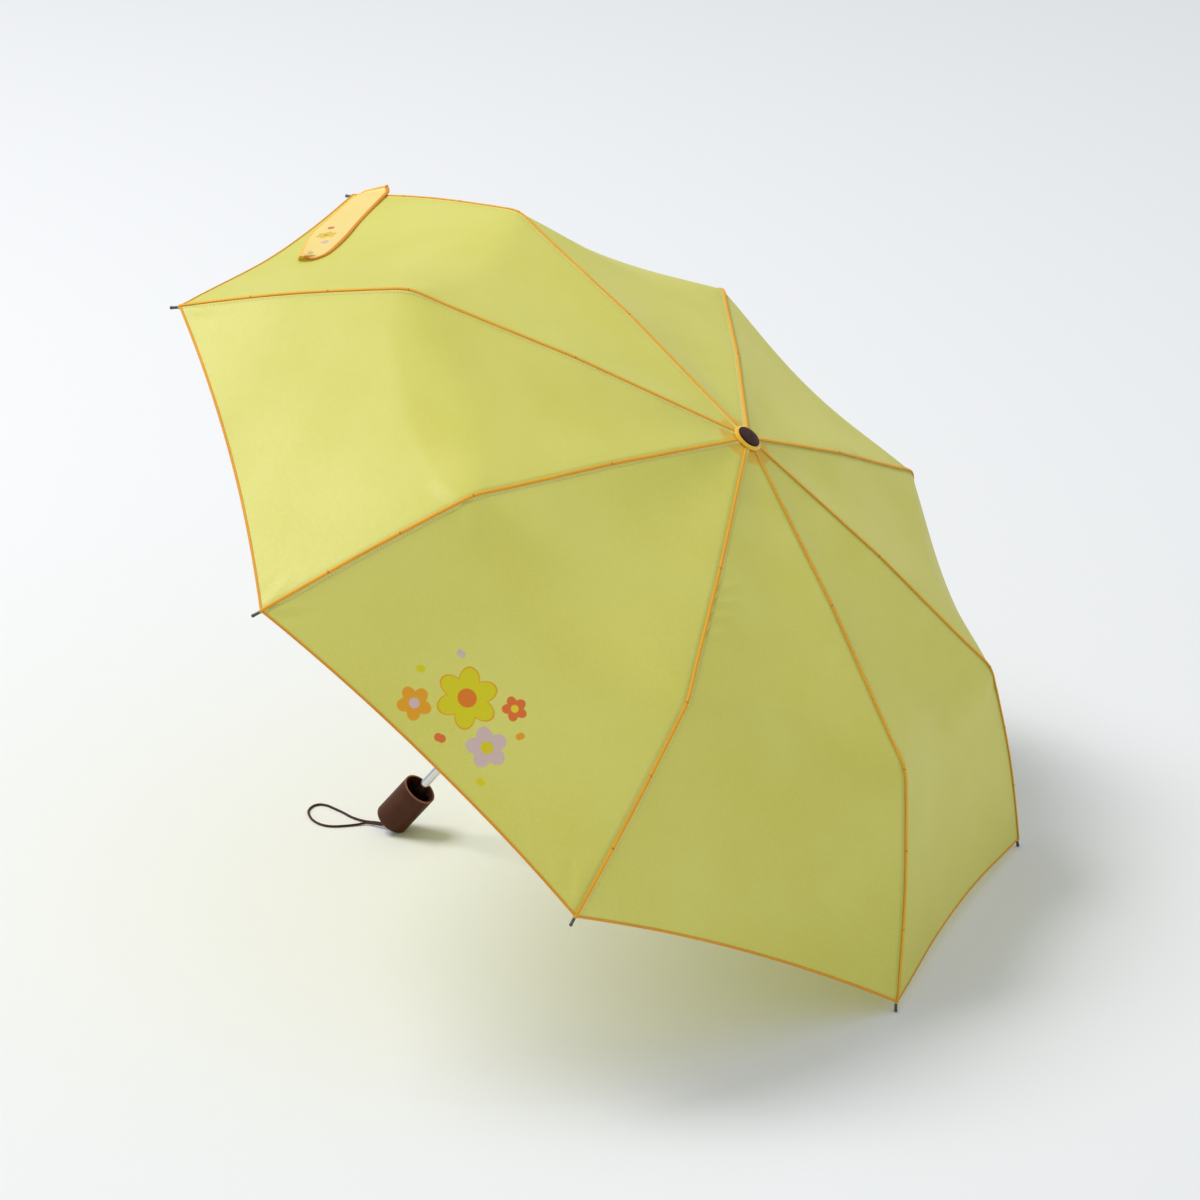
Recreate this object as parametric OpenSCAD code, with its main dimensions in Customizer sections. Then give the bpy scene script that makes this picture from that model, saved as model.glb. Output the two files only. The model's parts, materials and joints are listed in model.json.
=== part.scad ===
// Three-fold umbrella for a child, open and set down on two rib tips and the edge of its handle.
// Every piece is built about the shaft: +Z runs up the shaft from the end of the handle, and X
// and Y cross it. laid() then tips the whole umbrella onto the floor, which is Z = 0.
// A link (rib or stretcher) is built along +X from its own pivot, with Z as its upper side.

/* [Shaft] */
// Height of the rib pivots above the end of the handle
crown_height = 549.5; // [535:0.5:565]
// Outer diameter of the tube that the runner slides on
upper_tube_d = 11.6; // [11.2:0.1:12]
// Wall of each tube
tube_wall = 0.7; // [0.5:0.05:0.8]
// Radial clearance between two tubes
tube_gap = 0.1; // [0.05:0.05:0.2]
// Distance from the rib pivots down to the end of the upper tube
upper_tube_drop = 213; // [211:1:220]
// Length of the middle tube that shows when it is drawn out
middle_tube_shown = 154; // [130:1:165]
// Length of each inner tube that stays inside the next one
tube_overlap = 24; // [12:1:40]

/* [Ribs] */
// Radius of the wire rings that the links turn on
ring_r = 9; // [8.8:0.1:9.4]
// Thickness of the two wire rings
ring_wire_d = 1.2; // [0.8:0.1:1.4]
// Length of a top rib, from its ring to its knuckle
top_rib_len = 162; // [158:1:165]
// Length of a middle rib, from knuckle to knee
middle_rib_len = 156; // [146:1:157]
// Length of an outer rib, from the knee to the centre of its tip ball
outer_rib_len = 206; // [190:1:210]
// Slope of an open top rib below level
top_slope = 9.5; // [6:0.5:14]
// Slope of an open middle rib below level
middle_slope = 12; // [8:0.5:18]
// Slope of an open outer rib below level
outer_slope = 43.1; // [36:0.1:50]
// Width of the channels that the ribs are pressed from
channel_w = 3.2; // [2.8:0.1:3.3]
// Depth of those channels
channel_h = 3; // [2.8:0.1:3.2]
// Sheet thickness of the channels
channel_wall = 0.5; // [0.4:0.05:0.6]
// Thickness of an outer rib's wire
outer_wire_d = 1.9; // [1.5:0.1:2]
// Diameter of the ball at each rib's tip
tip_ball_d = 3.2; // [2.4:0.1:3.6]
// Diameter of the small hinge pins
pin_d = 1.2; // [0.8:0.1:1.4]
// Radial clearance of an eye on its pin
pin_gap = 0.06; // [0.04:0.01:0.1]
// Gap between the folded ribs
fold_gap = 0.25; // [0.2:0.05:0.4]

/* [Stretchers] */
// Distance along a top rib from its ring to the stretcher's rivet
rivet_at = 80; // [76:1:82]
// Length of a stretcher, from the runner's ring to its rivet
stretcher_len = 92; // [90:1:95]
// Side clearance of a stretcher's fork round the top rib
fork_gap = 0.15; // [0.1:0.05:0.25]
// Sheet thickness of a stretcher
fork_wall = 0.5; // [0.4:0.05:0.5]

/* [Runner] */
// Length of the runner's sleeve below its toothed collar
sleeve_len = 32; // [28:1:34]
// Radius of the two toothed collars
collar_r = 11; // [10.6:0.1:11.2]
// Wall of the runner's sleeve
sleeve_wall = 1.5; // [1.2:0.1:1.8]
// Radial clearance between the runner and its tube
sleeve_gap = 0.1; // [0.05:0.05:0.2]
// How far the release button can be pressed
button_travel = 1.2; // [0.8:0.1:1.4]

/* [Crown cap] */
// Diameter of the dark cap
cap_d = 22; // [20:0.5:24]
// Height of the cap's dome above its rim
cap_dome = 1.2; // [0.6:0.1:2]
// Diameter of the ring under the cap
washer_d = 28; // [26:0.5:30]

/* [Handle] */
// Outer diameter of the handle
handle_d = 33; // [32.6:0.1:36]
// Length of the handle
handle_len = 48; // [46:0.5:52]
// Wall of the handle's cup
handle_wall = 1.5; // [1:0.1:1.6]
// Rounding of the handle's bottom edge
handle_edge = 3; // [2:0.25:4]
// Thickness of the cup's floor
handle_floor = 8; // [7:0.5:9]
// Depth of the tube's socket below the cup's rim
socket_depth = 22; // [20.5:0.5:24]

/* [Canopy] */
// Thickness of the cloth
cloth = 0.4; // [0.3:0.05:0.5]
// How far the cloth stands above the middle of a top rib
cloth_lift = 2.4; // [2.3:0.05:2.7]
// How far the hem curves in between two rib tips
hem_curve = 9; // [0:0.5:14]
// How far the cloth sags between two ribs
cloth_sag = 4; // [0:0.5:8]
// Length of rib that stands out past the cloth
bare_tip = 7; // [6:0.5:9]
// Outer radius of the reinforcing patch under the crown
patch_r = 31; // [26:0.5:36]

/* [Tie strap] */
// Length of the strap along the hem
strap_len = 186; // [170:1:188]
// Width of the strap
strap_w = 34; // [30:1:36]
// Distance from the strap's sewn end to the eighth rib, along the hem
strap_end = 13.5; // [11.5:0.5:20]
// Distance between the hem line and the strap's sewn end
strap_rise = 12; // [11:0.5:16]
// How far the strap's loose end curls up from the hem
strap_curl = 34; // [20:1:40]

/* [Wrist loop] */
// Thickness of the loop's cord
cord_d = 2.2; // [2:0.1:2.4]

/* [Hidden] */
$fn = 48;

rib_count = 8;
rib_step = 360 / rib_count;
half_step = rib_step / 2;

// A radial plane holds points as [radius, height].
function along(slope) = [cos(slope), -sin(slope)];
function above(slope) = [sin(slope), cos(slope)];
function rib_azimuth(i) = -180 + half_step + (i - 1) * rib_step;

// Tube radii, from the outside in
upper_r = upper_tube_d / 2;
upper_bore = upper_r - tube_wall;
middle_r = upper_bore - tube_gap;
middle_bore = middle_r - tube_wall;
lower_r = middle_bore - tube_gap;
handle_r = handle_d / 2;
cup_r = handle_r - handle_wall;

// Pivots of an open rib
ring_wire_r = ring_wire_d / 2;
pin_r = pin_d / 2;
half_h = channel_h / 2;
half_w = channel_w / 2;
eye_wall = 0.75;
eye_r = max(ring_wire_r, pin_r) + pin_gap + eye_wall;
knuckle_rise = half_h - pin_r;
eye_rise = channel_h + fold_gap - knuckle_rise;
knee_drop = 0.3;
crown_pivot = [ring_r, crown_height];
knuckle = crown_pivot + top_rib_len * along(top_slope) + knuckle_rise * above(top_slope);
middle_start = knuckle - eye_rise * above(middle_slope);
knee = middle_start + middle_rib_len * along(middle_slope) - knee_drop * above(middle_slope);
tip = knee + outer_rib_len * along(outer_slope);
rivet = crown_pivot + rivet_at * along(top_slope);
runner_drop = crown_pivot[1] - rivet[1] + sqrt(pow(stretcher_len, 2) - pow(rivet[0] - ring_r, 2));
runner_pivot = [ring_r, crown_height - runner_drop];
stretcher_slope = -acos((rivet[0] - ring_r) / stretcher_len);
runner_travel = rivet_at + stretcher_len - runner_drop;

// How the umbrella lies: two tip balls and the rounded edge of the handle touch the floor
tip_ball_r = tip_ball_d / 2;
lean_height = tip[1] - handle_edge;
lean_reach = tip[0] * cos(half_step) - handle_r + handle_edge;
lean = atan2(lean_reach, lean_height)
     + asin((tip_ball_r - handle_edge) / norm([lean_height, lean_reach]));
lift = (handle_r - handle_edge) * cos(lean) + handle_edge * (1 - sin(lean));
shift = tip[1] * cos(lean);

// The cloth's inner side along a rib: hub, knuckle, knee and hem
hub_r = (upper_r + 0.25) / cos(half_step);
cloth_top = crown_pivot + cloth_lift * above(top_slope);
knee_lift = half_h + knee_drop + 1.2;
knee_normal = above((middle_slope + outer_slope) / 2);
hem_at = knee + (outer_rib_len - bare_tip) * along(outer_slope)
       + (outer_wire_d / 2 + 0.3) * above(outer_slope);
hub_at = cloth_top - (cloth_top[0] - hub_r) / cos(top_slope) * along(top_slope);
knuckle_at = cloth_top + top_rib_len * along(top_slope);
knee_at = knee + knee_lift * knee_normal;

module laid() {
  translate([-shift, 0, lift]) rotate([0, 90 - lean, 0]) children();
}

// Places a link in the radial plane of rib i, with its pivot at a point and its own slope
module link_at(i, pivot, slope) {
  laid() rotate([0, 0, rib_azimuth(i)]) translate([pivot[0], 0, pivot[1]])
    rotate([0, slope, 0]) children();
}

module cross_cylinder(x, z, r, width) {
  translate([x, -width / 2, z]) rotate([-90, 0, 0]) cylinder(r = r, h = width);
}

// Outline in X and Z, as wide as width about the link's middle plane
module side_plate(points, width) {
  translate([0, width / 2, 0]) rotate([90, 0, 0]) linear_extrude(width) polygon(points);
}

// Pressed channel, open underneath
module channel(from, to) {
  difference() {
    translate([from, -half_w, -half_h]) cube([to - from, channel_w, channel_h]);
    translate([from - 1, -half_w + channel_wall, -half_h - 1])
      cube([to - from + 2, channel_w - 2 * channel_wall, channel_h - channel_wall + 1]);
  }
}

// Two walls without the web between them, which carry a pin
module lugs(from, to) {
  for (side = [-1, 1])
    translate([from, side > 0 ? half_w - channel_wall : -half_w, -half_h])
      cube([to - from, channel_wall, channel_h]);
}

tongue_w = channel_w - 2 * channel_wall - 0.3;
blade_w = 1.6;
lug_end = 1.6;
web_cut = 4;
link_start = 5.5;

// Flat blade with the eye that turns on a wire ring
module ring_blade(reach) {
  difference() {
    union() {
      cross_cylinder(0, 0, eye_r, blade_w);
      translate([0, -blade_w / 2, -eye_r + 0.1]) cube([reach, blade_w, 2 * eye_r - 0.2]);
    }
    cross_cylinder(0, 0, ring_wire_r + pin_gap, blade_w + 2);
  }
}

module top_rib(i) {
  color("silver") link_at(i, crown_pivot, top_slope) {
    ring_blade(link_start + 3);
    channel(link_start, top_rib_len - web_cut);
    lugs(top_rib_len - web_cut - 0.01, top_rib_len + lug_end);
    translate([link_start, -half_w + 0.1, -half_h]) cube([2.5, channel_w - 0.2, channel_h]);
    cross_cylinder(rivet_at, 0, 0.8, channel_w);
    cross_cylinder(top_rib_len, knuckle_rise, pin_r, channel_w);
  }
}

module middle_rib(i) {
  color("silver") link_at(i, middle_start, middle_slope) {
    difference() {
      union() {
        cross_cylinder(0, eye_rise, pin_r + pin_gap + 0.65, tongue_w);
        side_plate([
          [-1, half_h], [1.5, half_h - channel_wall - 0.05], [7, half_h - channel_wall - 0.05],
          [7, half_h], [3.6, half_h], [1.2, eye_rise + 0.55]
        ], tongue_w);
      }
      cross_cylinder(0, eye_rise, pin_r + pin_gap, channel_w + 2);
    }
    channel(3, middle_rib_len - web_cut);
    lugs(middle_rib_len - web_cut - 0.01, middle_rib_len + lug_end);
    cross_cylinder(middle_rib_len, -knee_drop, pin_r, channel_w);
    control_wire();
  }
}

// Thin spring wire beside a middle rib, which folds the outer rib; both ends bend into the rib
module control_wire() {
  wire_r = 0.45;
  wire_y = half_w + 0.6;
  wire_start = 12;
  wire_end = middle_rib_len - 10;
  translate([wire_start, wire_y, 0]) rotate([0, 90, 0]) cylinder(r = wire_r, h = wire_end - wire_start);
  for (x = [wire_start + wire_r, wire_end - wire_r])
    translate([x, half_w - 0.2, 0]) rotate([-90, 0, 0]) cylinder(r = wire_r, h = wire_y - half_w + 0.2);
}

// Round wire with a flattened eye, and a pressed-on ferrule with the tip ball
module outer_rib(i) {
  ferrule_at = outer_rib_len - bare_tip + 0.5;
  wire_r = outer_wire_d / 2;
  color("silver") link_at(i, knee, outer_slope) {
    difference() {
      union() {
        cross_cylinder(0, 0, eye_r, tongue_w);
        translate([0, -tongue_w / 2, -wire_r]) cube([4, tongue_w, outer_wire_d]);
      }
      cross_cylinder(0, 0, pin_r + pin_gap, channel_w);
    }
    translate([3, 0, 0]) rotate([0, 90, 0]) cylinder(r = wire_r, h = ferrule_at - 3);
    translate([ferrule_at, 0, 0]) rotate([0, 90, 0]) cylinder(r = 1.35, h = bare_tip - 1);
    translate([outer_rib_len, 0, 0]) sphere(r = tip_ball_r);
  }
}

// Channel open below, whose end is a fork with a plate on each side of the top rib
module stretcher(i) {
  fork_in = half_w + fork_gap;
  fork_out = fork_in + fork_wall;
  web_low = half_h + 0.5;
  web_high = web_low + fork_wall;
  edge_low = -1.2;
  fork_len = 22;
  web_end = stretcher_len - fork_len;
  color("silver") link_at(i, runner_pivot, stretcher_slope) {
    ring_blade(link_start + 1);
    translate([link_start, -fork_out, edge_low]) cube([1.5, 2 * fork_out, web_high - edge_low]);
    translate([link_start, -fork_out, web_low]) cube([web_end - link_start, 2 * fork_out, fork_wall]);
    for (side = [-1, 1]) {
      y = side > 0 ? fork_in : -fork_out;
      translate([link_start, y, edge_low]) cube([web_end - link_start, fork_wall, web_high - edge_low]);
      translate([web_end - 1, y, edge_low]) cube([stretcher_len - web_end + 1, fork_wall, -2 * edge_low]);
      translate([stretcher_len, y, 0]) rotate([-90, 0, 0]) cylinder(r = 1.5, h = fork_wall);
      translate([stretcher_len, side * fork_out - (side > 0 ? 0.01 : 0.24), 0])
        rotate([-90, 0, 0]) cylinder(r = 0.9, h = 0.25);
    }
  }
}

// Toothed collar: a slot for each link, and a tunnel for the wire ring
collar_half = eye_r + 0.1;
slot_w = blade_w + 0.4;
module collar(bore) {
  difference() {
    translate([0, 0, -collar_half]) cylinder(r = collar_r, h = 2 * collar_half);
    translate([0, 0, -collar_half - 1]) cylinder(r = bore, h = 2 * collar_half + 2);
    rotate_extrude() translate([ring_r, 0]) circle(r = ring_wire_r + 0.05, $fn = 24);
    for (i = [1:rib_count]) rotate([0, 0, rib_azimuth(i)])
      translate([ring_r - eye_r - 0.15, -slot_w / 2, -collar_half - 1])
        cube([collar_r, slot_w, 2 * collar_half + 2]);
  }
}

module wire_ring() {
  rotate_extrude() translate([ring_r, 0]) circle(r = ring_wire_r, $fn = 24);
}

seat_gap = 0.03;
module crown_notch() {
  color("#4a2f22") laid() translate([0, 0, crown_height]) collar(upper_r + seat_gap);
}

module crown_ring() {
  color("gray") laid() translate([0, 0, crown_height]) wire_ring();
}

// Ring under the cap, with an underside that follows the cloth's slope
washer_low = hub_at[1] + (hub_r - upper_r) * tan(top_slope) + cloth / cos(top_slope) + 0.15;
washer_high = washer_low + 1.3;
module cap_washer() {
  rim_r = washer_d / 2;
  rim_low = washer_low - (rim_r - upper_r) * tan(top_slope);
  round_r = 0.7;
  color("#f2b632") laid() rotate_extrude() polygon([
    [upper_r + seat_gap, washer_low], [rim_r, rim_low], [rim_r, rim_low + 1.2],
    [rim_r - round_r, rim_low + 2], [cap_d / 2 + 0.4, washer_high], [upper_r + seat_gap, washer_high]
  ]);
}

tube_top = washer_high - 0.2;
module top_cap() {
  cap_r = cap_d / 2;
  dome_r = (pow(cap_r - 0.6, 2) + pow(cap_dome, 2)) / (2 * cap_dome);
  rim_h = 1.1;
  color("#33211c") laid() translate([0, 0, washer_high + 0.02]) {
    cylinder(r = cap_r, h = rim_h - 0.3);
    translate([0, 0, rim_h - 0.3]) cylinder(r1 = cap_r, r2 = cap_r - 0.3, h = 0.3);
    intersection() {
      translate([0, 0, rim_h + cap_dome - dome_r]) sphere(r = dome_r, $fn = 96);
      cylinder(r = cap_r - 0.6, h = rim_h + cap_dome + 1);
    }
    translate([0, 0, -14]) cylinder(r = upper_bore - 0.03, h = 14.5);
  }
}

module tube(outer, bore, low, high) {
  difference() {
    translate([0, 0, low]) cylinder(r = outer, h = high - low);
    translate([0, 0, low - 1]) cylinder(r = bore, h = high - low + 2);
  }
}

upper_low = crown_height - upper_tube_drop;
middle_low = upper_low - middle_tube_shown;
ferrule_h = 3;
socket_top = handle_len - socket_depth;
socket_floor = handle_floor + 2;

module upper_tube() {
  color("silver") laid() tube(upper_r, upper_bore, upper_low, tube_top);
}

module middle_tube() {
  color("silver") laid() tube(middle_r, middle_bore, middle_low, upper_low + tube_overlap);
}

module lower_tube() {
  color("silver") laid() tube(lower_r, lower_r - tube_wall, socket_floor, middle_low + tube_overlap);
}

// Crimped end rings, which guide the tube inside
module end_ring(outer, bore, low) {
  color("gray") laid() rotate_extrude() polygon([
    [bore, low - ferrule_h], [outer, low - ferrule_h], [outer + 0.35, low - ferrule_h + 0.5],
    [outer + 0.35, low - seat_gap], [bore, low - seat_gap]
  ]);
}

module upper_ferrule() {
  end_ring(upper_r, middle_r + tube_gap, upper_low);
}

module middle_ferrule() {
  end_ring(middle_r - 0.4, lower_r + tube_gap, middle_low);
}

// Release button: a pad in a housing on the side of the sleeve, away from the ribs
sleeve_bore = upper_r + sleeve_gap;
sleeve_r = sleeve_bore + sleeve_wall;
runner_z = runner_pivot[1];
button_mid = runner_z - collar_half - 12;
button_h = 11.8;
button_w = 6;
pocket_floor = sleeve_bore + 1.2;
housing_r = sleeve_r + 2.6;
pocket_gap = 0.1;

module runner() {
  sleeve_low = runner_z - collar_half - sleeve_len;
  color("#4a2f22") laid() {
    translate([0, 0, runner_z]) collar(sleeve_bore);
    difference() {
      union() {
        translate([0, 0, sleeve_low]) cylinder(r = sleeve_r, h = sleeve_len);
        translate([0, 0, sleeve_low]) cylinder(r = sleeve_r + 1.6, h = 3);
        translate([0, -button_w / 2 - 1, button_mid - button_h / 2 - 1.2])
          cube([housing_r, button_w + 2, button_h + 2.4]);
      }
      translate([0, 0, sleeve_low - 1]) cylinder(r = sleeve_bore, h = sleeve_len + 2);
      translate([pocket_floor, -button_w / 2 - pocket_gap, button_mid - button_h / 2 - pocket_gap])
        cube([housing_r, button_w + 2 * pocket_gap, button_h + 2 * pocket_gap]);
    }
  }
}

module runner_ring() {
  color("gray") laid() translate([0, 0, runner_z]) wire_ring();
}

spring_room = button_travel + 0.4;
module release_button() {
  back = pocket_floor + spring_room;
  color("#6b4432") laid() translate([back, -button_w / 2, button_mid - button_h / 2])
    cube([housing_r + 0.9 - back, button_w, button_h]);
}

// Circle of points about a path point, from the directions of its two cross axes
function ring_points(centre, across, over, r, sides) =
  [for (k = [0:sides - 1]) centre + r * (cos(k * 360 / sides) * across + sin(k * 360 / sides) * over)];

// Triangles of a closed tube with count rings of sides points
function tube_faces(count, sides) = concat(
  [for (k = [0:count - 2]) for (s = [0:sides - 1])
    [k * sides + s, (k + 1) * sides + (s + 1) % sides, (k + 1) * sides + s]],
  [for (k = [0:count - 2]) for (s = [0:sides - 1])
    [k * sides + s, k * sides + (s + 1) % sides, (k + 1) * sides + (s + 1) % sides]],
  [[for (s = [sides - 1:-1:0]) s]],
  [[for (s = [0:sides - 1]) (count - 1) * sides + s]]
);

module button_spring() {
  turns = 3;
  wire = 0.22;
  coil_r = 1.8;
  steps = 12 * turns;
  rise = spring_room - 2 * wire - 0.1;
  centres = [for (k = [0:steps])
    [k / steps * rise, coil_r * cos(k * 360 * turns / steps), coil_r * sin(k * 360 * turns / steps)]];
  points = [for (k = [0:steps]) each ring_points(centres[k], [1, 0, 0],
    [0, cos(k * 360 * turns / steps), sin(k * 360 * turns / steps)], wire, 6)];
  color("gray") laid() translate([pocket_floor + wire + 0.05, 0, button_mid])
    polyhedron(points, tube_faces(steps + 1, 6));
}

// Open cup with a rounded bottom edge and eight fins that keep the folded tips apart
module handle_cup() {
  fin_in = ring_r + 2.5;
  fin_top = handle_len - 6;
  color("#4a2c20") laid() {
    difference() {
      union() {
        translate([0, 0, handle_edge]) cylinder(r = handle_r, h = handle_len - handle_edge);
        cylinder(r = handle_r - handle_edge, h = handle_edge + 1);
        translate([0, 0, handle_edge]) rotate_extrude()
          translate([handle_r - handle_edge, 0]) circle(r = handle_edge);
      }
      translate([0, 0, handle_floor]) cylinder(r = cup_r, h = handle_len);
      translate([0, 0, -1]) cylinder(r = anchor_r + seat_gap, h = handle_floor + 2);
    }
    for (k = [0:rib_count - 1]) rotate([0, 0, k * rib_step])
      translate([fin_in, -0.5, handle_floor - 1]) cube([cup_r + 0.5 - fin_in, 1, fin_top - handle_floor + 1]);
  }
}

socket_r = lower_r + 2.2;
module handle_socket() {
  color("#2c1b15") laid() difference() {
    translate([0, 0, handle_floor + seat_gap]) cylinder(r = socket_r, h = socket_top - handle_floor - seat_gap);
    translate([0, 0, socket_floor - seat_gap]) cylinder(r = lower_r + seat_gap, h = socket_top);
  }
}

// Plug in the handle's floor with the two cord holes
anchor_r = 4.5;
cord_r = cord_d / 2;
strand_y = cord_r + 0.3;
module loop_anchor() {
  color("#2c1b15") laid() difference() {
    cylinder(r = anchor_r, h = handle_floor - seat_gap);
    for (side = [-1, 1]) translate([0, side * strand_y, -1]) cylinder(r = cord_r + seat_gap, h = handle_floor);
  }
}

// Route of the cord's centre line on the floor, in the laid frame, from one hole round to the other
loop_points = [
  [-223, 1.4, 6.6], [-228, 1.6, 4], [-237, 3.4, 2.8], [-247, 3.6, 2], [-256, 5.6, 1.4],
  [-266, 9, 1.2], [-277, 15, 1.2], [-288, 20, 1.2], [-298, 24, 1.2], [-306, 23.4, 1.2],
  [-310, 17, 1.2], [-309, 6, 1.2], [-303, -4, 1.2], [-295, -12, 1.2], [-285, -17, 1.2],
  [-274, -17, 1.2], [-264, -12, 1.2], [-255, -6, 1.3], [-246, 0.4, 2], [-237, 0, 2.8],
  [-228, -1.4, 4], [-223, -1.4, 6.6]
];
hole_step = 3;
function laid_point(p) = [
  p[0] * sin(lean) + p[2] * cos(lean) - shift, p[1], -p[0] * cos(lean) + p[2] * sin(lean) + lift
];
cord_path = concat(
  [laid_point([0, strand_y, hole_step]), laid_point([0, strand_y, 0])],
  loop_points,
  [laid_point([0, -strand_y, 0]), laid_point([0, -strand_y, hole_step])]
);

function unit(v) = v / norm(v);
// Smooth curve through the path: point between knots k and k + 1 at share t
function spline(p, k, t) =
  let (a = p[max(k - 1, 0)], b = p[k], c = p[k + 1], d = p[min(k + 2, len(p) - 1)])
  0.5 * (2 * b + (c - a) * t + (2 * a - 5 * b + 4 * c - d) * t * t + (3 * b - a - 3 * c + d) * t * t * t);
function spline_points(p, steps) = concat(
  [for (k = [0:len(p) - 2]) for (s = [0:steps - 1]) spline(p, k, s / steps)], [p[len(p) - 1]]);
function tangent(p, k) = unit(p[min(k + 1, len(p) - 1)] - p[max(k - 1, 0)]);

module wrist_loop() {
  line = spline_points(cord_path, 2);
  sides = 8;
  points = [for (k = [0:len(line) - 1])
    let (t = tangent(line, k), across = unit(cross(t, [0, 0, 1])), over = cross(across, t))
    each ring_points(line[k], across, over, cord_r, sides)];
  color("#3a1512") polyhedron(points, tube_faces(len(line), sides));
}

// Cloth between two neighbouring ribs. down is the share of the way from hub to hem and across
// runs from -1 at one rib to 1 at the next.
reach_knuckle = norm(knuckle_at - hub_at);
reach_knee = reach_knuckle + norm(knee_at - knuckle_at);
reach_hem = reach_knee + norm(hem_at - knee_at);
function rib_line(s) =
  s < reach_knuckle ? hub_at + (knuckle_at - hub_at) * s / reach_knuckle :
  s < reach_knee ? knuckle_at + (knee_at - knuckle_at) * (s - reach_knuckle) / (reach_knee - reach_knuckle) :
  knee_at + (hem_at - knee_at) * (s - reach_knee) / (reach_hem - reach_knee);
function slope_at(s) =
  s < reach_knuckle ? top_slope : s < reach_knee - 1 ? middle_slope :
  s < reach_knee + 1 ? (middle_slope + outer_slope) / 2 : outer_slope;
function facet_slope(s) = atan(tan(slope_at(s)) / cos(half_step));
function arch(across) = 1 - across * across;
function sag_at(s) =
  cloth_sag * sin(90 * min(s / reach_knuckle, 1)) * (1 + 0.5 * exp(-pow((s - reach_knee) / 25, 2)));
seam_gap = 0.04;
// Point on the cloth, offset out of its inner side by out; gap is left at each rib
function cloth_point(s, across, out, gap = seam_gap) =
  let (hem = reach_hem - hem_curve * arch(across), t = min(s, hem), p = rib_line(t), b = facet_slope(t),
       n = out - sag_at(t) * pow(arch(across), 2))
  [p[0] * cos(half_step) + n * sin(b), across * (p[0] * sin(half_step) - gap), p[1] + n * cos(b)];

// Closed skin over a grid of cloth positions: rows of points, with an inner and an outer side
module cloth_skin(rows, low, high, gap = seam_gap) {
  n = len(rows);
  m = len(rows[0]);
  points = concat(
    [for (row = rows) for (q = row) cloth_point(q[0], q[1], low, gap)],
    [for (row = rows) for (q = row) cloth_point(q[0], q[1], high, gap)]
  );
  top = n * m;
  edge = concat(
    [for (j = [0:m - 2]) j], [for (i = [0:n - 2]) i * m + m - 1],
    [for (j = [m - 1:-1:1]) (n - 1) * m + j], [for (i = [n - 1:-1:1]) i * m]
  );
  faces = concat(
    [for (i = [0:n - 2]) for (j = [0:m - 2]) let (a = i * m + j) [a, a + m + 1, a + 1]],
    [for (i = [0:n - 2]) for (j = [0:m - 2]) let (a = i * m + j) [a, a + m, a + m + 1]],
    [for (i = [0:n - 2]) for (j = [0:m - 2]) let (a = top + i * m + j) [a, a + 1, a + m + 1]],
    [for (i = [0:n - 2]) for (j = [0:m - 2]) let (a = top + i * m + j) [a, a + m + 1, a + m]],
    [for (k = [0:len(edge) - 1]) let (a = edge[k], b = edge[(k + 1) % len(edge)]) [a, b + top, a + top]],
    [for (k = [0:len(edge) - 1]) let (a = edge[k], b = edge[(k + 1) % len(edge)]) [a, b, b + top]]
  );
  polyhedron(points, faces);
}

module between_ribs(i) {
  laid() rotate([0, 0, rib_azimuth(i) + half_step]) children();
}

panel_columns = [for (j = [-4:4]) j / 4];
bend_half = 30;
bend_end = reach_knee + bend_half;
panel_rows = concat(
  [0, reach_knuckle * 0.33, reach_knuckle * 0.66, reach_knuckle, (reach_knuckle + reach_knee) / 2],
  [for (k = [-1, -0.4, 0, 0.4, 1]) reach_knee + bend_half * k],
  [for (k = [1:3]) bend_end + (reach_hem - bend_end) * k / 3]
);

module panel(i) {
  rows = [for (k = [0:len(panel_rows) - 1]) [for (a = panel_columns)
    [k < len(panel_rows) - 1 ? min(panel_rows[k], reach_hem - hem_curve * arch(a) - 5) : reach_hem, a]]];
  color("#d9d678") between_ribs(i) cloth_skin(rows, 0, cloth);
}

// Eight-sided cone of stiffer cloth between the ribs and the canopy
module hub_patch() {
  start = (collar_r + 0.6) / cos(half_step) - hub_r;
  rows = [for (s = [start, patch_r - hub_r]) [for (a = panel_columns) [s, a]]];
  color("#d8b540") for (i = [1:rib_count]) between_ribs(i) cloth_skin(rows, -0.5, -0.2, -0.05);
}

// The strap lies along the hem of the eighth panel, a little above the cloth. Its points are
// found from the length share t, 0 at the loose end, and the distance w out of its middle line.
hem_half = hem_at[0] * sin(half_step);
strap_start = 2 * hem_half - strap_len - strap_end;
strap_slant = 0.4;
function strap_point(t, w) =
  let (rise = strap_curl * pow(1 - t, 2), across_line = unit([2 * strap_curl * (1 - t), strap_len]),
       x = strap_start + strap_len * t + w * (across_line[0] + strap_slant * (1 - t)),
       s = reach_hem - strap_rise - strap_w / 2 - rise - w * across_line[1], p = rib_line(s))
  [s, (hem_half - x) / (p[0] * sin(half_step))];
module tie_strap() {
  steps = 14;
  rows = [for (k = [3:-1:0]) [for (j = [steps:-1:0]) strap_point(j / steps, strap_w * (k / 3 - 0.5))]];
  color("#f3dc8e") between_ribs(8) cloth_skin(rows, cloth + 0.3, cloth + 1.1);
}

module strap_snap() {
  q = strap_point(0.09, 0);
  p = cloth_point(q[0], q[1], cloth + 1.3);
  color("#c9b24a") between_ribs(8) translate(p) rotate([0, facet_slope(q[0]), 0]) {
    cylinder(r = 5, h = 0.8);
    cylinder(r = 3.4, h = 1.5);
  }
}

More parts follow.
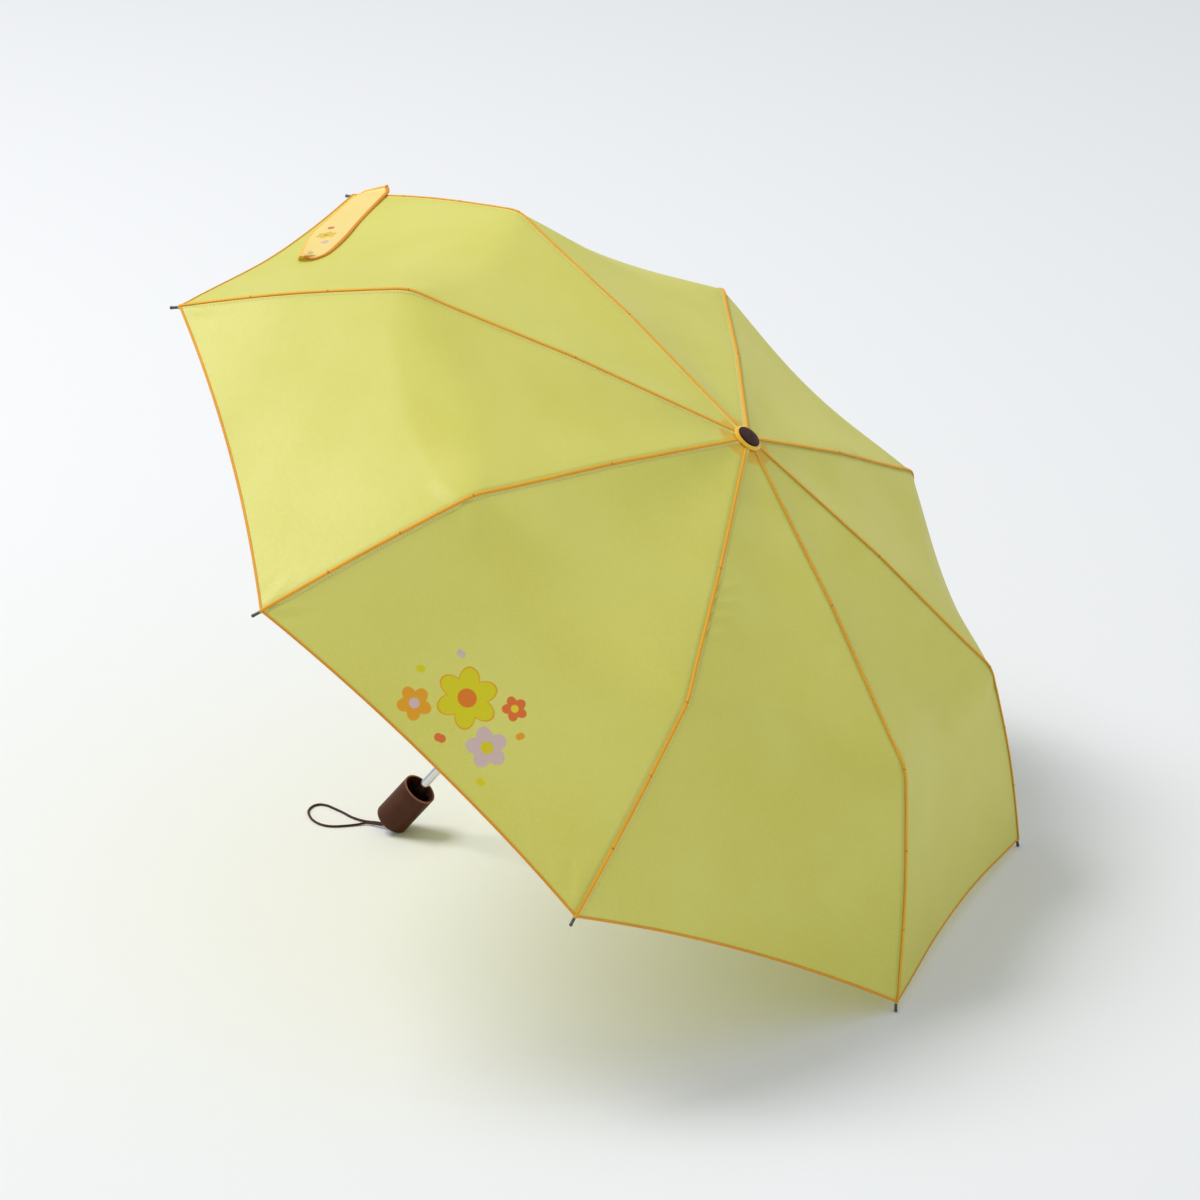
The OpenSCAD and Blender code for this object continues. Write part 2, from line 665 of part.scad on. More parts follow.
top_cap();
cap_washer();
crown_notch();
crown_ring();
hub_patch();
upper_tube();
middle_tube();
lower_tube();
middle_ferrule();
upper_ferrule();
runner();
runner_ring();
release_button();
button_spring();
handle_cup();
handle_socket();
loop_anchor();
wrist_loop();
tie_strap();
strap_snap();
for (i = [1:rib_count]) {
  panel(i);
  top_rib(i);
  middle_rib(i);
  outer_rib(i);
  stretcher(i);
}
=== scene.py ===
import json
import math

import bpy
import numpy as np
from mathutils import Matrix, Vector


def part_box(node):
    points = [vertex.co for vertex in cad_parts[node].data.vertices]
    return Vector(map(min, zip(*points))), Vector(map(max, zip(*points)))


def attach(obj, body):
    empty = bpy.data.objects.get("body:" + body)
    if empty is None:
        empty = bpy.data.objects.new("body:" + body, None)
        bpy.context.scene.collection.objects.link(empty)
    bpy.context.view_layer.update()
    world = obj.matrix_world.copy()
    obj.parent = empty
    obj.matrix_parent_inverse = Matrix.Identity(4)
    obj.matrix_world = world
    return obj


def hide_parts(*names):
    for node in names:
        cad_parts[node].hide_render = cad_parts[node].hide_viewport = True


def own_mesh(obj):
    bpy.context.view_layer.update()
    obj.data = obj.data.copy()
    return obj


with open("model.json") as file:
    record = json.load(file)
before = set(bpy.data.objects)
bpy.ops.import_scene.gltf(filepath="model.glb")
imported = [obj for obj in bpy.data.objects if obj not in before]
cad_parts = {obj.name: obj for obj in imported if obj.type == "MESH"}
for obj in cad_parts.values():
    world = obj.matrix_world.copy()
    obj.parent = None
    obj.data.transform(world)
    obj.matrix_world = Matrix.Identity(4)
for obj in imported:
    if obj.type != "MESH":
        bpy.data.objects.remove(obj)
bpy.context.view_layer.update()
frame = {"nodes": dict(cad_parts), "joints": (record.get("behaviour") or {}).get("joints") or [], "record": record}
JOINTS = {j["name"]: j for j in frame["joints"]}
MOUNTS = {m["name"]: m for m in frame["record"]["mounts"]}
MM = 0.001
COUNT = 8
HALF = math.radians(180 / COUNT)

# ---------------------------------------------------------------- camera, solved on the rib joints and tips
CAMERA_AT, LENS_MM, SENSOR_MM = (1.37364, -3.45160, 1.75695), 133.63, 36
AZIMUTH, ELEVATION, ROLL = (math.radians(x) for x in (21.8353, 21.8884, -0.05505))
back = Vector((math.sin(AZIMUTH) * math.cos(ELEVATION),
               -math.cos(AZIMUTH) * math.cos(ELEVATION), math.sin(ELEVATION)))
right = (-back).cross(Vector((0, 0, 1))).normalized()
over = right.cross(-back)
right, over = (right * math.cos(ROLL) + over * math.sin(ROLL),
               over * math.cos(ROLL) - right * math.sin(ROLL))
lens = bpy.data.cameras.new("camera")
lens.sensor_width = SENSOR_MM
lens.lens = LENS_MM
lens.clip_start, lens.clip_end = 0.1, 60
camera = bpy.data.objects.new("camera", lens)
bpy.context.scene.collection.objects.link(camera)
camera.matrix_world = Matrix.Translation(Vector(CAMERA_AT)) @ Matrix(
    (right, over, back)).transposed().to_4x4()
bpy.context.scene.camera = camera


# ---------------------------------------------------------------- meshes
def vec(v):
    return np.array(v, float)


def unit(v):
    return v / np.maximum(np.linalg.norm(v, axis=-1, keepdims=True), 1e-12)


class Build:
    """Parts of one mesh: points in metres, faces, a material for each face, normals and flat cloth
    coordinates."""

    def __init__(self):
        self.points, self.faces, self.mats, self.normals, self.flat = [], [], [], [], []
        self.count = 0

    def add(self, points, faces, mat=0, normals=None, flat=None, outside=None):
        """mat is one material's number, or a list with one for each face. outside is a direction, or one for
        each point, that the faces have to look towards."""
        points = vec(points).reshape(-1, 3)
        faces = [list(f) for f in faces]
        own = vertex_normals(points, faces)
        if normals is not None:
            outside = vec(normals).reshape(-1, 3)
        if outside is not None and (own * outside).sum() < 0:
            faces, own = [f[::-1] for f in faces], -own
        if normals is None:
            normals = own
        if flat is None:
            flat = np.zeros_like(points)
        self.points.append(points)
        self.normals.append(vec(normals).reshape(-1, 3))
        self.flat.append(vec(flat).reshape(-1, 3))
        self.faces += [[k + self.count for k in f] for f in faces]
        self.mats += mat if isinstance(mat, list) else [mat] * len(faces)
        self.count += len(points)

    def make(self, name, materials, body, replaces=()):
        """The finished mesh object, riding on body."""
        mesh = bpy.data.meshes.new(name)
        points = np.concatenate(self.points)
        mesh.from_pydata(points.tolist(), [], self.faces)
        for m in materials:
            mesh.materials.append(m)
        mesh.polygons.foreach_set("material_index", self.mats)
        mesh.polygons.foreach_set("use_smooth", [True] * len(self.faces))
        flat = mesh.attributes.new("flat", "FLOAT_VECTOR", "POINT")
        flat.data.foreach_set("vector", np.concatenate(self.flat).astype(np.float32).ravel())
        mesh.update()
        mesh.normals_split_custom_set_from_vertices(unit(np.concatenate(self.normals)).tolist())
        obj = bpy.data.objects.new(name, mesh)
        bpy.context.scene.collection.objects.link(obj)
        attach(obj, body)
        if replaces:
            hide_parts(*replaces)
        return obj


def vertex_normals(points, faces):
    out = np.zeros_like(points)
    for f in faces:
        p = points[f]
        n = np.cross(p[1] - p[0], p[2] - p[0])
        if len(f) > 3:
            n = n + np.cross(p[2] - p[0], p[3] - p[0])
        for k in f:
            out[k] += n
    return unit(out)


def grid_faces(rows, cols, wrap=False):
    faces = []
    for i in range(rows - 1):
        for j in range(cols if wrap else cols - 1):
            k = (j + 1) % cols
            faces.append([i * cols + j, i * cols + k, (i + 1) * cols + k, (i + 1) * cols + j])
    return faces


def tube_faces(rows, cols):
    """Faces of a tube that is closed at both ends."""
    return grid_faces(rows, cols, wrap=True) + [list(range(cols))[::-1],
                                                [(rows - 1) * cols + k for k in range(cols)]]


def stitch_faces(count):
    """Three faces for each stitch, whose points come in four rows of two."""
    return [[o, o + 1, o + 3, o + 2] for k in range(count) for o in (k * 8, k * 8 + 2, k * 8 + 4)]


def grid_normals(p):
    return unit(np.cross(np.gradient(p, axis=1), np.gradient(p, axis=0)))


def round_angles(count):
    return np.linspace(0, 2 * np.pi, count, endpoint=False)


def flat_grid(x, y):
    """Flat cloth coordinates in metres, from millimetres across and along."""
    x, y = np.broadcast_arrays(x, y)
    return np.stack([x * MM, y * MM, np.zeros(x.shape)], -1)


def sweep(centres, across, above, profile):
    """Points and faces of a closed tube: profile is points (across, above) round each centre."""
    prof = vec(profile)
    pts = centres[:, None] + across[:, None] * prof[None, :, :1] + above[:, None] * prof[None, :, 1:]
    return pts.reshape(-1, 3), tube_faces(*pts.shape[:2])


# ---------------------------------------------------------------- node materials
def nodes_of(name):
    m = bpy.data.materials.new(name)
    m.use_nodes = True
    tree = m.node_tree
    shader = tree.nodes["Principled BSDF"]
    return m, tree, shader


def srgb(text):
    v = [int(text[k:k + 2], 16) / 255 for k in (0, 2, 4)]
    return tuple(x / 12.92 if x <= 0.04045 else ((x + 0.055) / 1.055) ** 2.4 for x in v) + (1,)


class Nodes:
    """Short names for the nodes of one material."""

    def __init__(self, tree):
        self.tree = tree

    def node(self, kind, inputs=(), **facts):
        n = self.tree.nodes.new(kind)
        for k, v in facts.items():
            setattr(n, k, v)
        for k, v in dict(inputs).items():
            self.set(n.inputs[k], v)
        return n

    def set(self, socket, v):
        if isinstance(v, bpy.types.NodeSocket):
            self.tree.links.new(v, socket)
        else:
            socket.default_value = v

    def math(self, op, a, b=0.0, c=0.0):
        return self.node("ShaderNodeMath", {0: a, 1: b, 2: c}, operation=op).outputs[0]

    def vmath(self, op, a, b=(0, 0, 0)):
        n = self.node("ShaderNodeVectorMath", {0: a, 1: b}, operation=op)
        return n.outputs["Value"] if op in ("LENGTH", "DOT_PRODUCT") else n.outputs[0]

    def apart(self, vector):
        """The x and y of a vector."""
        return self.node("ShaderNodeSeparateXYZ", {0: vector}).outputs[:2]

    def ramp(self, value, low, high, to_low=0.0, to_high=1.0):
        return self.node("ShaderNodeMapRange", {"Value": value, "From Min": low, "From Max": high,
                                                "To Min": to_low, "To Max": to_high},
                         interpolation_type="SMOOTHSTEP").outputs[0]

    def mix(self, share, a, b):
        n = self.node("ShaderNodeMix", data_type="RGBA")
        for k, v in ((0, share), (6, a), (7, b)):
            self.set(n.inputs[k], v)
        return n.outputs[2]

    def noise(self, at, scale, detail=3.0, rough=0.5):
        return self.node("ShaderNodeTexNoise", {"Vector": at, "Scale": scale, "Detail": detail,
                                                "Roughness": rough}).outputs["Fac"]

    def bump(self, height, strength, distance, before=None):
        n = self.node("ShaderNodeBump", {"Height": height, "Strength": strength, "Distance": distance})
        if before is not None:
            self.set(n.inputs["Normal"], before)
        return n.outputs[0]


def place(tree):
    """The object's own coordinates, which keep a texture on its piece."""
    return tree.nodes.new("ShaderNodeTexCoord").outputs["Object"]


def solid(name, colour, rough, metallic=0.0, vary=0.12, grain=900.0, bump=0.00003, second=None,
          coat=0.0, spec=0.5):
    """Rigid material: colour drifting a little, uneven gloss and a fine surface grain."""
    m, tree, shader = nodes_of(name)
    n = Nodes(tree)
    at = place(tree)
    wide, fine = n.noise(at, 60.0, 4.0), n.noise(at, grain, 2.0)
    dark = tuple(c * (1 - vary) for c in srgb(colour)[:3]) + (1,)
    n.set(shader.inputs["Base Color"], n.mix(n.ramp(wide, 0.3, 0.7), dark, srgb(second or colour)))
    n.set(shader.inputs["Roughness"], n.ramp(wide, 0.25, 0.75, rough * 0.8, min(1, rough * 1.3)))
    shader.inputs["Metallic"].default_value = metallic
    shader.inputs["Coat Weight"].default_value = coat
    shader.inputs["Coat Roughness"].default_value = 0.08
    shader.inputs["Specular IOR Level"].default_value = spec
    n.set(shader.inputs["Normal"], n.bump(fine, 0.25, bump))
    return m


# ---------------------------------------------------------------- places taken from the frame
UP = -unit(vec(JOINTS["runner_slide"]["axis"]))
TOPS = [vec(JOINTS[f"top_rib_hinge_{i}"]["pos_m"]) / MM for i in range(1, COUNT + 1)]
CROWN = np.mean(TOPS, axis=0)
RADIAL = [unit(p - CROWN) for p in TOPS]
TANGENT = [np.cross(UP, r) for r in RADIAL]


def flat_of(p, i):
    """[radius, height] of a point of rib i, in millimetres, from the crown's centre."""
    d = p - CROWN
    return np.array([d @ RADIAL[i], d @ UP])


def in_rib_plane(v, i):
    """Vectors of [radius, height] on rib i, turned into the frame's three directions."""
    return v[..., :1] * RADIAL[i] + v[..., 1:] * UP


def along(a):
    """Direction [radius, height] of a rib that slopes down by a."""
    return np.array([math.cos(a), -math.sin(a)])


def above(a):
    """Direction [radius, height] square to it, away from the shaft's lower end."""
    return np.array([math.sin(a), math.cos(a)])


def slope(a, b):
    return math.atan2(a[1] - b[1], b[0] - a[0])


TOP = flat_of(TOPS[0], 0)
KNUCKLE = flat_of(vec(JOINTS["knuckle_hinge_1"]["pos_m"]) / MM, 0)
KNEE = flat_of(vec(JOINTS["knee_hinge_1"]["pos_m"]) / MM, 0)
BALL_R = 1.6  # the small ball on each rib's end
tips = []
for i in range(COUNT):
    low, high = (vec(c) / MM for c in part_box(f"outer_rib_{i + 1}"))
    knee = vec(JOINTS[f"knee_hinge_{i + 1}"]["pos_m"]) / MM
    tips.append(flat_of(np.where((low + high) / 2 > knee, high - BALL_R, low + BALL_R), i))
TIP = np.median(tips, axis=0)
OUTER_SLOPE, TOP_SLOPE = slope(KNEE, TIP), slope(TOP, KNUCKLE)
WIRE_END = np.linalg.norm(TIP - KNEE)

HUB_R = 6.55  # where the cloth goes under the crown's ring
CLOTH_ABOVE = (2.5, 1.6, 3.1, 1.35)  # height of the cloth over the hinges at crown, knuckle and knee, and at the hem
HEM_FROM_END = 7
line = [TOP + CLOTH_ABOVE[0] * above(TOP_SLOPE), KNUCKLE + CLOTH_ABOVE[1] * above(TOP_SLOPE),
        KNEE + CLOTH_ABOVE[2] * above((slope(KNUCKLE, KNEE) + OUTER_SLOPE) / 2),
        KNEE + (WIRE_END - HEM_FROM_END) * along(OUTER_SLOPE) + CLOTH_ABOVE[3] * above(OUTER_SLOPE)]
line[0] = line[0] - (line[0][0] - HUB_R) / math.cos(TOP_SLOPE) * along(TOP_SLOPE)
D = [unit(line[k + 1] - line[k]) for k in range(3)]
S1 = np.linalg.norm(line[1] - line[0])
S2 = S1 + np.linalg.norm(line[2] - line[1])
S3 = S2 + np.linalg.norm(line[3] - line[2])
HEM_CURVE = 9.0  # how far the hem curves in between two ribs
KNUCKLE_BEND, KNEE_BEND, KNEE_BEND_MORE = 10, 13, 24  # half lengths of the cloth's bends on a rib, and off it
PUFF, PUFF_START, KNEE_RISE, KNEE_RISE_LONG = 4.0, 0.16, 1.3, 26
SAG, SAG_AT_KNEE, SAG_LONG = 4.0, 0.5, 25  # how far a panel's middle lies inside its ribs
WAVE_TALL, WAVE_MARGIN, WAVE_START = 0.22, 14, 60  # faint unevenness of the cloth
PANEL_SHIFT = 0.37  # sets each panel's weave and colour drift apart
MID = [unit(RADIAL[j] + RADIAL[(j + 1) % COUNT]) for j in range(COUNT)]
SIDE = [unit(RADIAL[(j + 1) % COUNT] - RADIAL[j]) for j in range(COUNT)]


def turn(u, w):
    """0 before a corner and u after it, with a smooth bend of half-width w between them."""
    return np.where(u < -w, 0, np.where(u > w, u, (u + w) ** 2 / (4 * w)))


def rib_curve(s, edge):
    """[radius, height] of the cloth at length s from the hub. edge is 1 on a rib and 0 between two ribs."""
    s, edge = np.broadcast_arrays(vec(s), vec(edge))
    knee_w = KNEE_BEND + KNEE_BEND_MORE * (1 - edge ** 2)
    p = (line[0] + s[..., None] * D[0] + turn(s - S1, KNUCKLE_BEND)[..., None] * (D[1] - D[0])
         + turn(s - S2, knee_w)[..., None] * (D[2] - D[1]))
    x = np.clip((s - S2) / (S3 - S2), 0, 1)
    start = np.clip(x / PUFF_START, 0, 1)
    puff = PUFF * np.sin(np.pi * x) * start ** 2 * (3 - 2 * start) * (0.3 + 0.7 * edge ** 2)
    rise = KNEE_RISE * np.exp(-((s - S2) / KNEE_RISE_LONG) ** 2) * edge ** 2
    return p + puff[..., None] * above(OUTER_SLOPE) + rise[..., None] * above(0.5)


def hem_of(a):
    """Length s at the hem."""
    return S3 - HEM_CURVE * (1 - vec(a) ** 2)


# Short ridges in the cloth: panel, side (-1 its first rib, 1 its second), then length along the rib
# and distance from it at both ends, height and width.
RIDGES = [
    (3, -1, S1 + 22, 2, S1 + 6, 30, 0.9, 4.5), (3, -1, S1 + 38, 2, S1 + 22, 36, 1.1, 4.5),
    (3, -1, S1 + 56, 2, S1 + 40, 34, 1.0, 5.0), (3, -1, S1 + 76, 2, S1 + 62, 28, 0.7, 5.0),
    (2, 1, S3 - 5, 4, S3 - 46, 20, 1.1, 5.0), (2, 1, S3 - 4, 9, S3 - 24, 44, 0.9, 5.5),
    (2, -1, S3 - 5, 4, S3 - 34, 16, 0.8, 4.5), (1, 1, S3 - 5, 4, S3 - 36, 18, 0.7, 5.0),
    (1, -1, S3 - 5, 4, S3 - 34, 16, 0.8, 4.5), (8, 1, S3 - 5, 4, S3 - 38, 18, 0.7, 5.0),
    (3, 1, S3 - 5, 4, S3 - 34, 16, 0.7, 4.5), (4, -1, S3 - 5, 4, S3 - 34, 18, 0.7, 4.5),
    (5, -1, S3 - 5, 4, S3 - 38, 18, 0.8, 5.0), (6, 1, S3 - 5, 4, S3 - 34, 16, 0.8, 5.0),
    (7, -1, S3 - 5, 4, S3 - 38, 18, 0.8, 5.0), (5, 1, S1 + 40, 2, S1 + 26, 30, 0.7, 4.5),
    (6, -1, S1 + 50, 2, S1 + 34, 32, 0.8, 4.5), (2, -1, S2 + 6, 3, S2 + 26, 40, 0.8, 7.0),
    (1, 1, S2 + 8, 3, S2 + 30, 44, 0.8, 7.0), (4, 1, S2 + 6, 3, S2 + 26, 38, 0.7, 7.0),
]


def creases(j, s, lateral, half_width):
    """Height of the ridges and of a faint wave on panel j + 1."""
    out = np.zeros_like(s)
    for panel, side, s_from, d_from, s_to, d_to, height, width in RIDGES:
        if panel != j + 1:
            continue
        d = half_width - side * lateral
        run = np.array([s_to - s_from, d_to - d_from])
        length = np.linalg.norm(run)
        run = run / length
        t = ((s - s_from) * run[0] + (d - d_from) * run[1]) / length
        off = (s - s_from) * run[1] - (d - d_from) * run[0]
        taper = np.exp(-((np.clip(t, -1, 2) - 0.4) / 0.42) ** 4)
        out += height * taper * (np.exp(-(off / width) ** 2) - 0.5 * np.exp(-((off - 1.9 * width) / width) ** 2))
    wave = np.sin(s / 31 + 1.7 * j) * np.sin(lateral / 27 + 0.9 * j) + 0.6 * np.sin(s / 17 - lateral / 23 + j)
    inside = np.clip((half_width - np.abs(lateral)) / WAVE_MARGIN, 0, 1)
    return out + WAVE_TALL * wave * inside * np.clip(s / WAVE_START, 0, 1)


def cloth(j, s, a, out=0.0, plain=False):
    """Points in metres on panel j + 1, s along it and a across it from -1 to 1, raised by out millimetres."""
    s, a, out = np.broadcast_arrays(vec(s), vec(a), vec(out))
    edge = np.abs(a)
    p, q = rib_curve(s, edge), rib_curve(s + 0.5, edge)
    tilt = np.arctan2(p[..., 1] - q[..., 1], (q[..., 0] - p[..., 0]) * math.cos(HALF))
    arch = 1 - a ** 2
    sag = (SAG * np.sin(np.pi / 2 * np.clip(s / S1, 0, 1))
           * (1 + SAG_AT_KNEE * np.exp(-((s - S2) / SAG_LONG) ** 2)))
    half_width = p[..., 0] * math.sin(HALF)
    n = out - sag * arch ** 2
    if not plain:
        n = n + creases(j, s, a * half_width, half_width)
    x = p[..., 0] * math.cos(HALF) + n * np.sin(tilt)
    z = p[..., 1] + n * np.cos(tilt)
    return (CROWN + x[..., None] * MID[j] + (a * half_width)[..., None] * SIDE[j] + z[..., None] * UP) * MM


def flat_coordinates(j, s, a):
    """The same places on the flat cloth, for its weave and print."""
    s, a = np.broadcast_arrays(vec(s), vec(a))
    y = a * rib_curve(s, np.abs(a))[..., 0] * math.sin(HALF)
    return np.stack([y * MM, s * MM, np.full_like(y, j * PANEL_SHIFT)], -1)


# ---------------------------------------------------------------- cloth materials
PETAL_GAP, MIDDLE_SHARE = 0.66, 0.3  # radius between two petals and of the flower's middle, as shares
EDGE_SOFT, OUTLINE = 0.35, 1.3  # a print's soft edge and the line round it, in millimetres
SCALLOP, PATCH_FADE, PATCH_TINT = 18.0, (0.0185, 0.029), 0.75  # the patch that shows through round the hub
WAVE_FIT = 0.31416  # makes one wave of the texture as wide as one thread


def petals(n, at, x, y, radius, count, turned=0.0):
    """Mask of a flower with round petals, and its distance from the middle as a share of its radius."""
    off = n.vmath("SUBTRACT", at, (x * MM, y * MM, 0))
    off = n.vmath("MULTIPLY", off, (1, 1, 0))
    far = n.math("DIVIDE", n.vmath("LENGTH", off), radius * MM)
    across, up = n.apart(off)
    angle = n.math("ARCTAN2", up, across)
    lobes = n.math("ABSOLUTE", n.math("COSINE", n.math("MULTIPLY_ADD", angle, count / 2, turned)))
    rim = n.math("MULTIPLY_ADD", lobes, 1 - PETAL_GAP, PETAL_GAP)
    return n.math("SUBTRACT", rim, far), far


def fabric(name, colour, tint, thread, marks=(), hub=None, soft=0.28, wave=0.45, sheen=0.03, rough=0.42):
    """Thin woven cloth: colour drift, weave relief, sheen and light that comes through. marks are printed flowers
    and dots: x, y, radius, petals, turn, and the colours of petals, middle and outline."""
    m, tree, shader = nodes_of(name)
    n = Nodes(tree)
    flat = n.node("ShaderNodeAttribute", attribute_name="flat", attribute_type="GEOMETRY").outputs["Vector"]
    wide, fine = n.noise(flat, 9.0, 3.0), n.noise(flat, 420.0, 2.0)
    base = n.mix(n.ramp(wide, 0.32, 0.68), srgb(colour), srgb(tint))
    base = n.mix(n.ramp(fine, 0.35, 0.75, 0.0, 0.25), base, srgb(thread))
    if hub:
        across, down = n.apart(flat)
        scallop = n.math("MULTIPLY_ADD", n.math("MULTIPLY", across, across), SCALLOP, down)
        near = n.ramp(scallop, *PATCH_FADE, PATCH_TINT, 0.0)
        base = n.mix(near, base, srgb(hub))
    for x, y, radius, count, turned, petal, middle, outline in marks:
        mask, far = petals(n, flat, x, y, radius, count, turned)
        crisp = EDGE_SOFT / radius
        shape = n.ramp(mask, -crisp, crisp)
        if outline:
            base = n.mix(shape, base, srgb(outline))
            shape = n.ramp(n.math("SUBTRACT", mask, OUTLINE / radius), -crisp, crisp)
        base = n.mix(shape, base, srgb(petal))
        if middle:
            base = n.mix(n.ramp(far, MIDDLE_SHARE + crisp, MIDDLE_SHARE - crisp), base, srgb(middle))
    n.set(shader.inputs["Base Color"], base)
    n.set(shader.inputs["Roughness"], n.ramp(fine, 0.3, 0.7, rough - 0.05, rough + 0.07))
    shader.inputs["Sheen Weight"].default_value = sheen
    shader.inputs["Sheen Roughness"].default_value = 0.35
    shader.inputs["Specular IOR Level"].default_value = 0.45
    size = wave * MM
    threads = [n.node("ShaderNodeTexWave", {"Vector": flat, "Scale": WAVE_FIT / size, "Distortion": 0.6,
                                            "Detail": 1.0, "Detail Scale": 3.0},
                      bands_direction=way).outputs["Fac"] for way in ("X", "Y")]
    weave = n.math("MAXIMUM", threads[0], threads[1])
    normal = n.bump(weave, 0.22, 0.00006)
    normal = n.bump(n.noise(flat, 55.0, 4.0, 0.6), 0.3, 0.0009, normal)
    n.set(shader.inputs["Normal"], normal)
    if soft:
        through = n.node("ShaderNodeBsdfTranslucent", {"Color": base, "Normal": normal})
        both = n.node("ShaderNodeMixShader", {0: soft, 1: shader.outputs[0], 2: through.outputs[0]})
        tree.links.new(both.outputs[0], tree.nodes["Material Output"].inputs["Surface"])
    return m


HEM_MID = S3 - HEM_CURVE
# Generic flowers and dots on panel 2.
PRINT = [
    (-9, HEM_MID - 62, 27, 6, 0.3, "D8CE12", "E07A1C", "E39A10"),
    (31, HEM_MID - 43, 18, 5, 0.0, "D2B8B4", "D9C81A", None),
    (-37, HEM_MID - 27, 15, 5, 0.9, "E6A01C", "D2B8B4", None),
    (25, HEM_MID - 84, 11, 5, 0.5, "E0702E", "E8D030", None),
    (-38, HEM_MID - 86, 4, 2, 0.0, "D2B8B4", None, None),
    (-2, HEM_MID - 21, 5, 2, 0.4, "E0702E", None, None),
    (44, HEM_MID - 70, 4, 2, 1.2, "E6A01C", None, None),
    (-53, HEM_MID - 52, 4, 2, 0.8, "D8CE12", None, None),
    (47, HEM_MID - 18, 4, 2, 0.2, "D8CE12", None, None),
]
CLOTH_COLOURS = ("DCD86E", "D7D362", "E4E07E")
canopy_cloth = fabric("canopy_cloth", *CLOTH_COLOURS, hub="F4CC42")
printed_cloth = fabric("printed_cloth", *CLOTH_COLOURS, marks=PRINT)
patch_cloth = fabric("patch_cloth", "E6B93E", "DEAE32", "EFC858", soft=0.2)
hem_tape = fabric("hem_tape", "EE9E0E", "E79408", "F4B23A", soft=0.1, wave=0.3, sheen=0.0, rough=0.7)
seam_piping = fabric("seam_piping", "EDAA0E", "E49E06", "F5BE38", soft=0.0, wave=0.3, sheen=0.0, rough=0.6)
# painted highlight: this lighter strip on one side of each rib stands for the lit edge of the seam
seam_painted_highlight = fabric("seam_painted_highlight", "F2E684", "EDE07A", "F7EE9C", soft=0.15, wave=0.3, sheen=0.0, rough=0.65)
seam_thread = solid("seam_thread", "E8D25C", 0.65, vary=0.3, grain=2500, bump=0.00005, spec=0.2)
tie_thread = solid("tie_thread", "C47C0A", 0.7, vary=0.3, grain=2500, bump=0.00005, spec=0.2)

# ---------------------------------------------------------------- canopy
COLS, ROWS = 80, (20, 32, 48)
A = np.linspace(-1, 1, COLS + 1)
HALVES = {1: slice(0, COLS // 2 + 1), -1: slice(COLS // 2, COLS + 1)}


def joint_cut(s_joint, direction, share):
    """Length s at which the cloth of a rib's section ends: share 1 is square to the rib that leads away from the
    joint, 0 is straight across the panel."""
    in_from_rib = (1 - np.abs(A)) * math.sin(HALF) ** 2
    reach = rib_curve(s_joint, 1.0)[..., 0] * in_from_rib * direction[0]
    return s_joint + share * reach / (1 - direction[0] ** 2 * in_from_rib)


BORDERS = [0 * A, joint_cut(S1, D[1], 1.0), joint_cut(S2, D[2], 0.85), hem_of(A)]
s_rows = [BORDERS[0][None]] + [
    BORDERS[k] + np.linspace(0, 1, ROWS[k] + 1)[1:, None] * (BORDERS[k + 1] - BORDERS[k]) for k in range(3)]
S_ALL = np.concatenate(s_rows)
A_ALL = np.broadcast_to(A, S_ALL.shape)
CUTS = (0, ROWS[0], ROWS[0] + ROWS[1], sum(ROWS))
SECTIONS = ("top", "middle", "outer")
gores = []
for j in range(COUNT):
    p = cloth(j, S_ALL, A_ALL)
    n = grid_normals(p)
    if (n[n.shape[0] // 2, COLS // 2] @ UP) < 0:
        n = -n
    gores.append((p, n, flat_coordinates(j, S_ALL, A_ALL)))


def rib_points(i, s):
    """Points on rib i's seam, the direction out of it and the slope there, all along the rib's own plane."""
    p, q = rib_curve(s, 1.0), rib_curve(vec(s) + 0.5, 1.0)
    d = unit(q - p)
    up2 = np.stack([-d[:, 1], d[:, 0]], -1)
    return (CROWN + in_rib_plane(p, i)) * MM, in_rib_plane(up2, i), in_rib_plane(d, i)


# Tape round the hem, as points (distance past the hem, height), and its row of stitches.
TAPE = [(-1.9, 0.1), (-1.8, 0.42), (-0.6, 0.55), (0.2, 0.45), (0.5, 0), (0.2, -0.45), (-0.6, -0.55),
        (-1.8, -0.42), (-1.9, -0.1)]
TAPE_STITCH_STEP, TAPE_STITCH_HALF, TAPE_MARGIN = 0.019, 0.0055, 0.02  # as shares of half a panel
TAPE_STITCH_AT, TAPE_STITCH_OUT, TAPE_THREAD = -1.15, 0.58, 0.22
TAPE_STITCH_ARCH = ((-1, -0.12), (-0.6, 0.14), (0.6, 0.14), (1, -0.12))


def hem_band(build, j, cols):
    """Folded tape round the hem of half a panel, with a row of stitches on either face."""
    a = A[cols]
    p = np.stack([cloth(j, hem_of(a) + ds, a, out) for ds, out in TAPE], 1)
    build.add(p, grid_faces(*p.shape[:2]), 1, flat=flat_coordinates(
        j, hem_of(a)[:, None] + np.array([q[0] for q in TAPE]), a[:, None]),
        outside=(p - p.mean(1, keepdims=True)).reshape(-1, 3))
    steps = np.arange(a.min() + TAPE_MARGIN, a.max() - TAPE_MARGIN, TAPE_STITCH_STEP)
    face_out = gores[j][1][CUTS[2] + 20, COLS // 2]
    for face in (1, -1):
        rows = []
        for along_stitch, lift in TAPE_STITCH_ARCH:
            at = steps + TAPE_STITCH_HALF * along_stitch
            rows.append(np.stack([cloth(j, hem_of(at) + TAPE_STITCH_AT + w, at, face * (TAPE_STITCH_OUT + lift))
                                  for w in (-TAPE_THREAD, TAPE_THREAD)], 1))
        q = np.stack(rows, 1)  # stitch, step, width
        build.add(q.reshape(-1, 3), stitch_faces(len(steps)), 2, outside=face_out * face)


def piece_name(section, i, side):
    return f"cloth_{section}_{i + 1}_" + {1: "right", -1: "left"}[side]


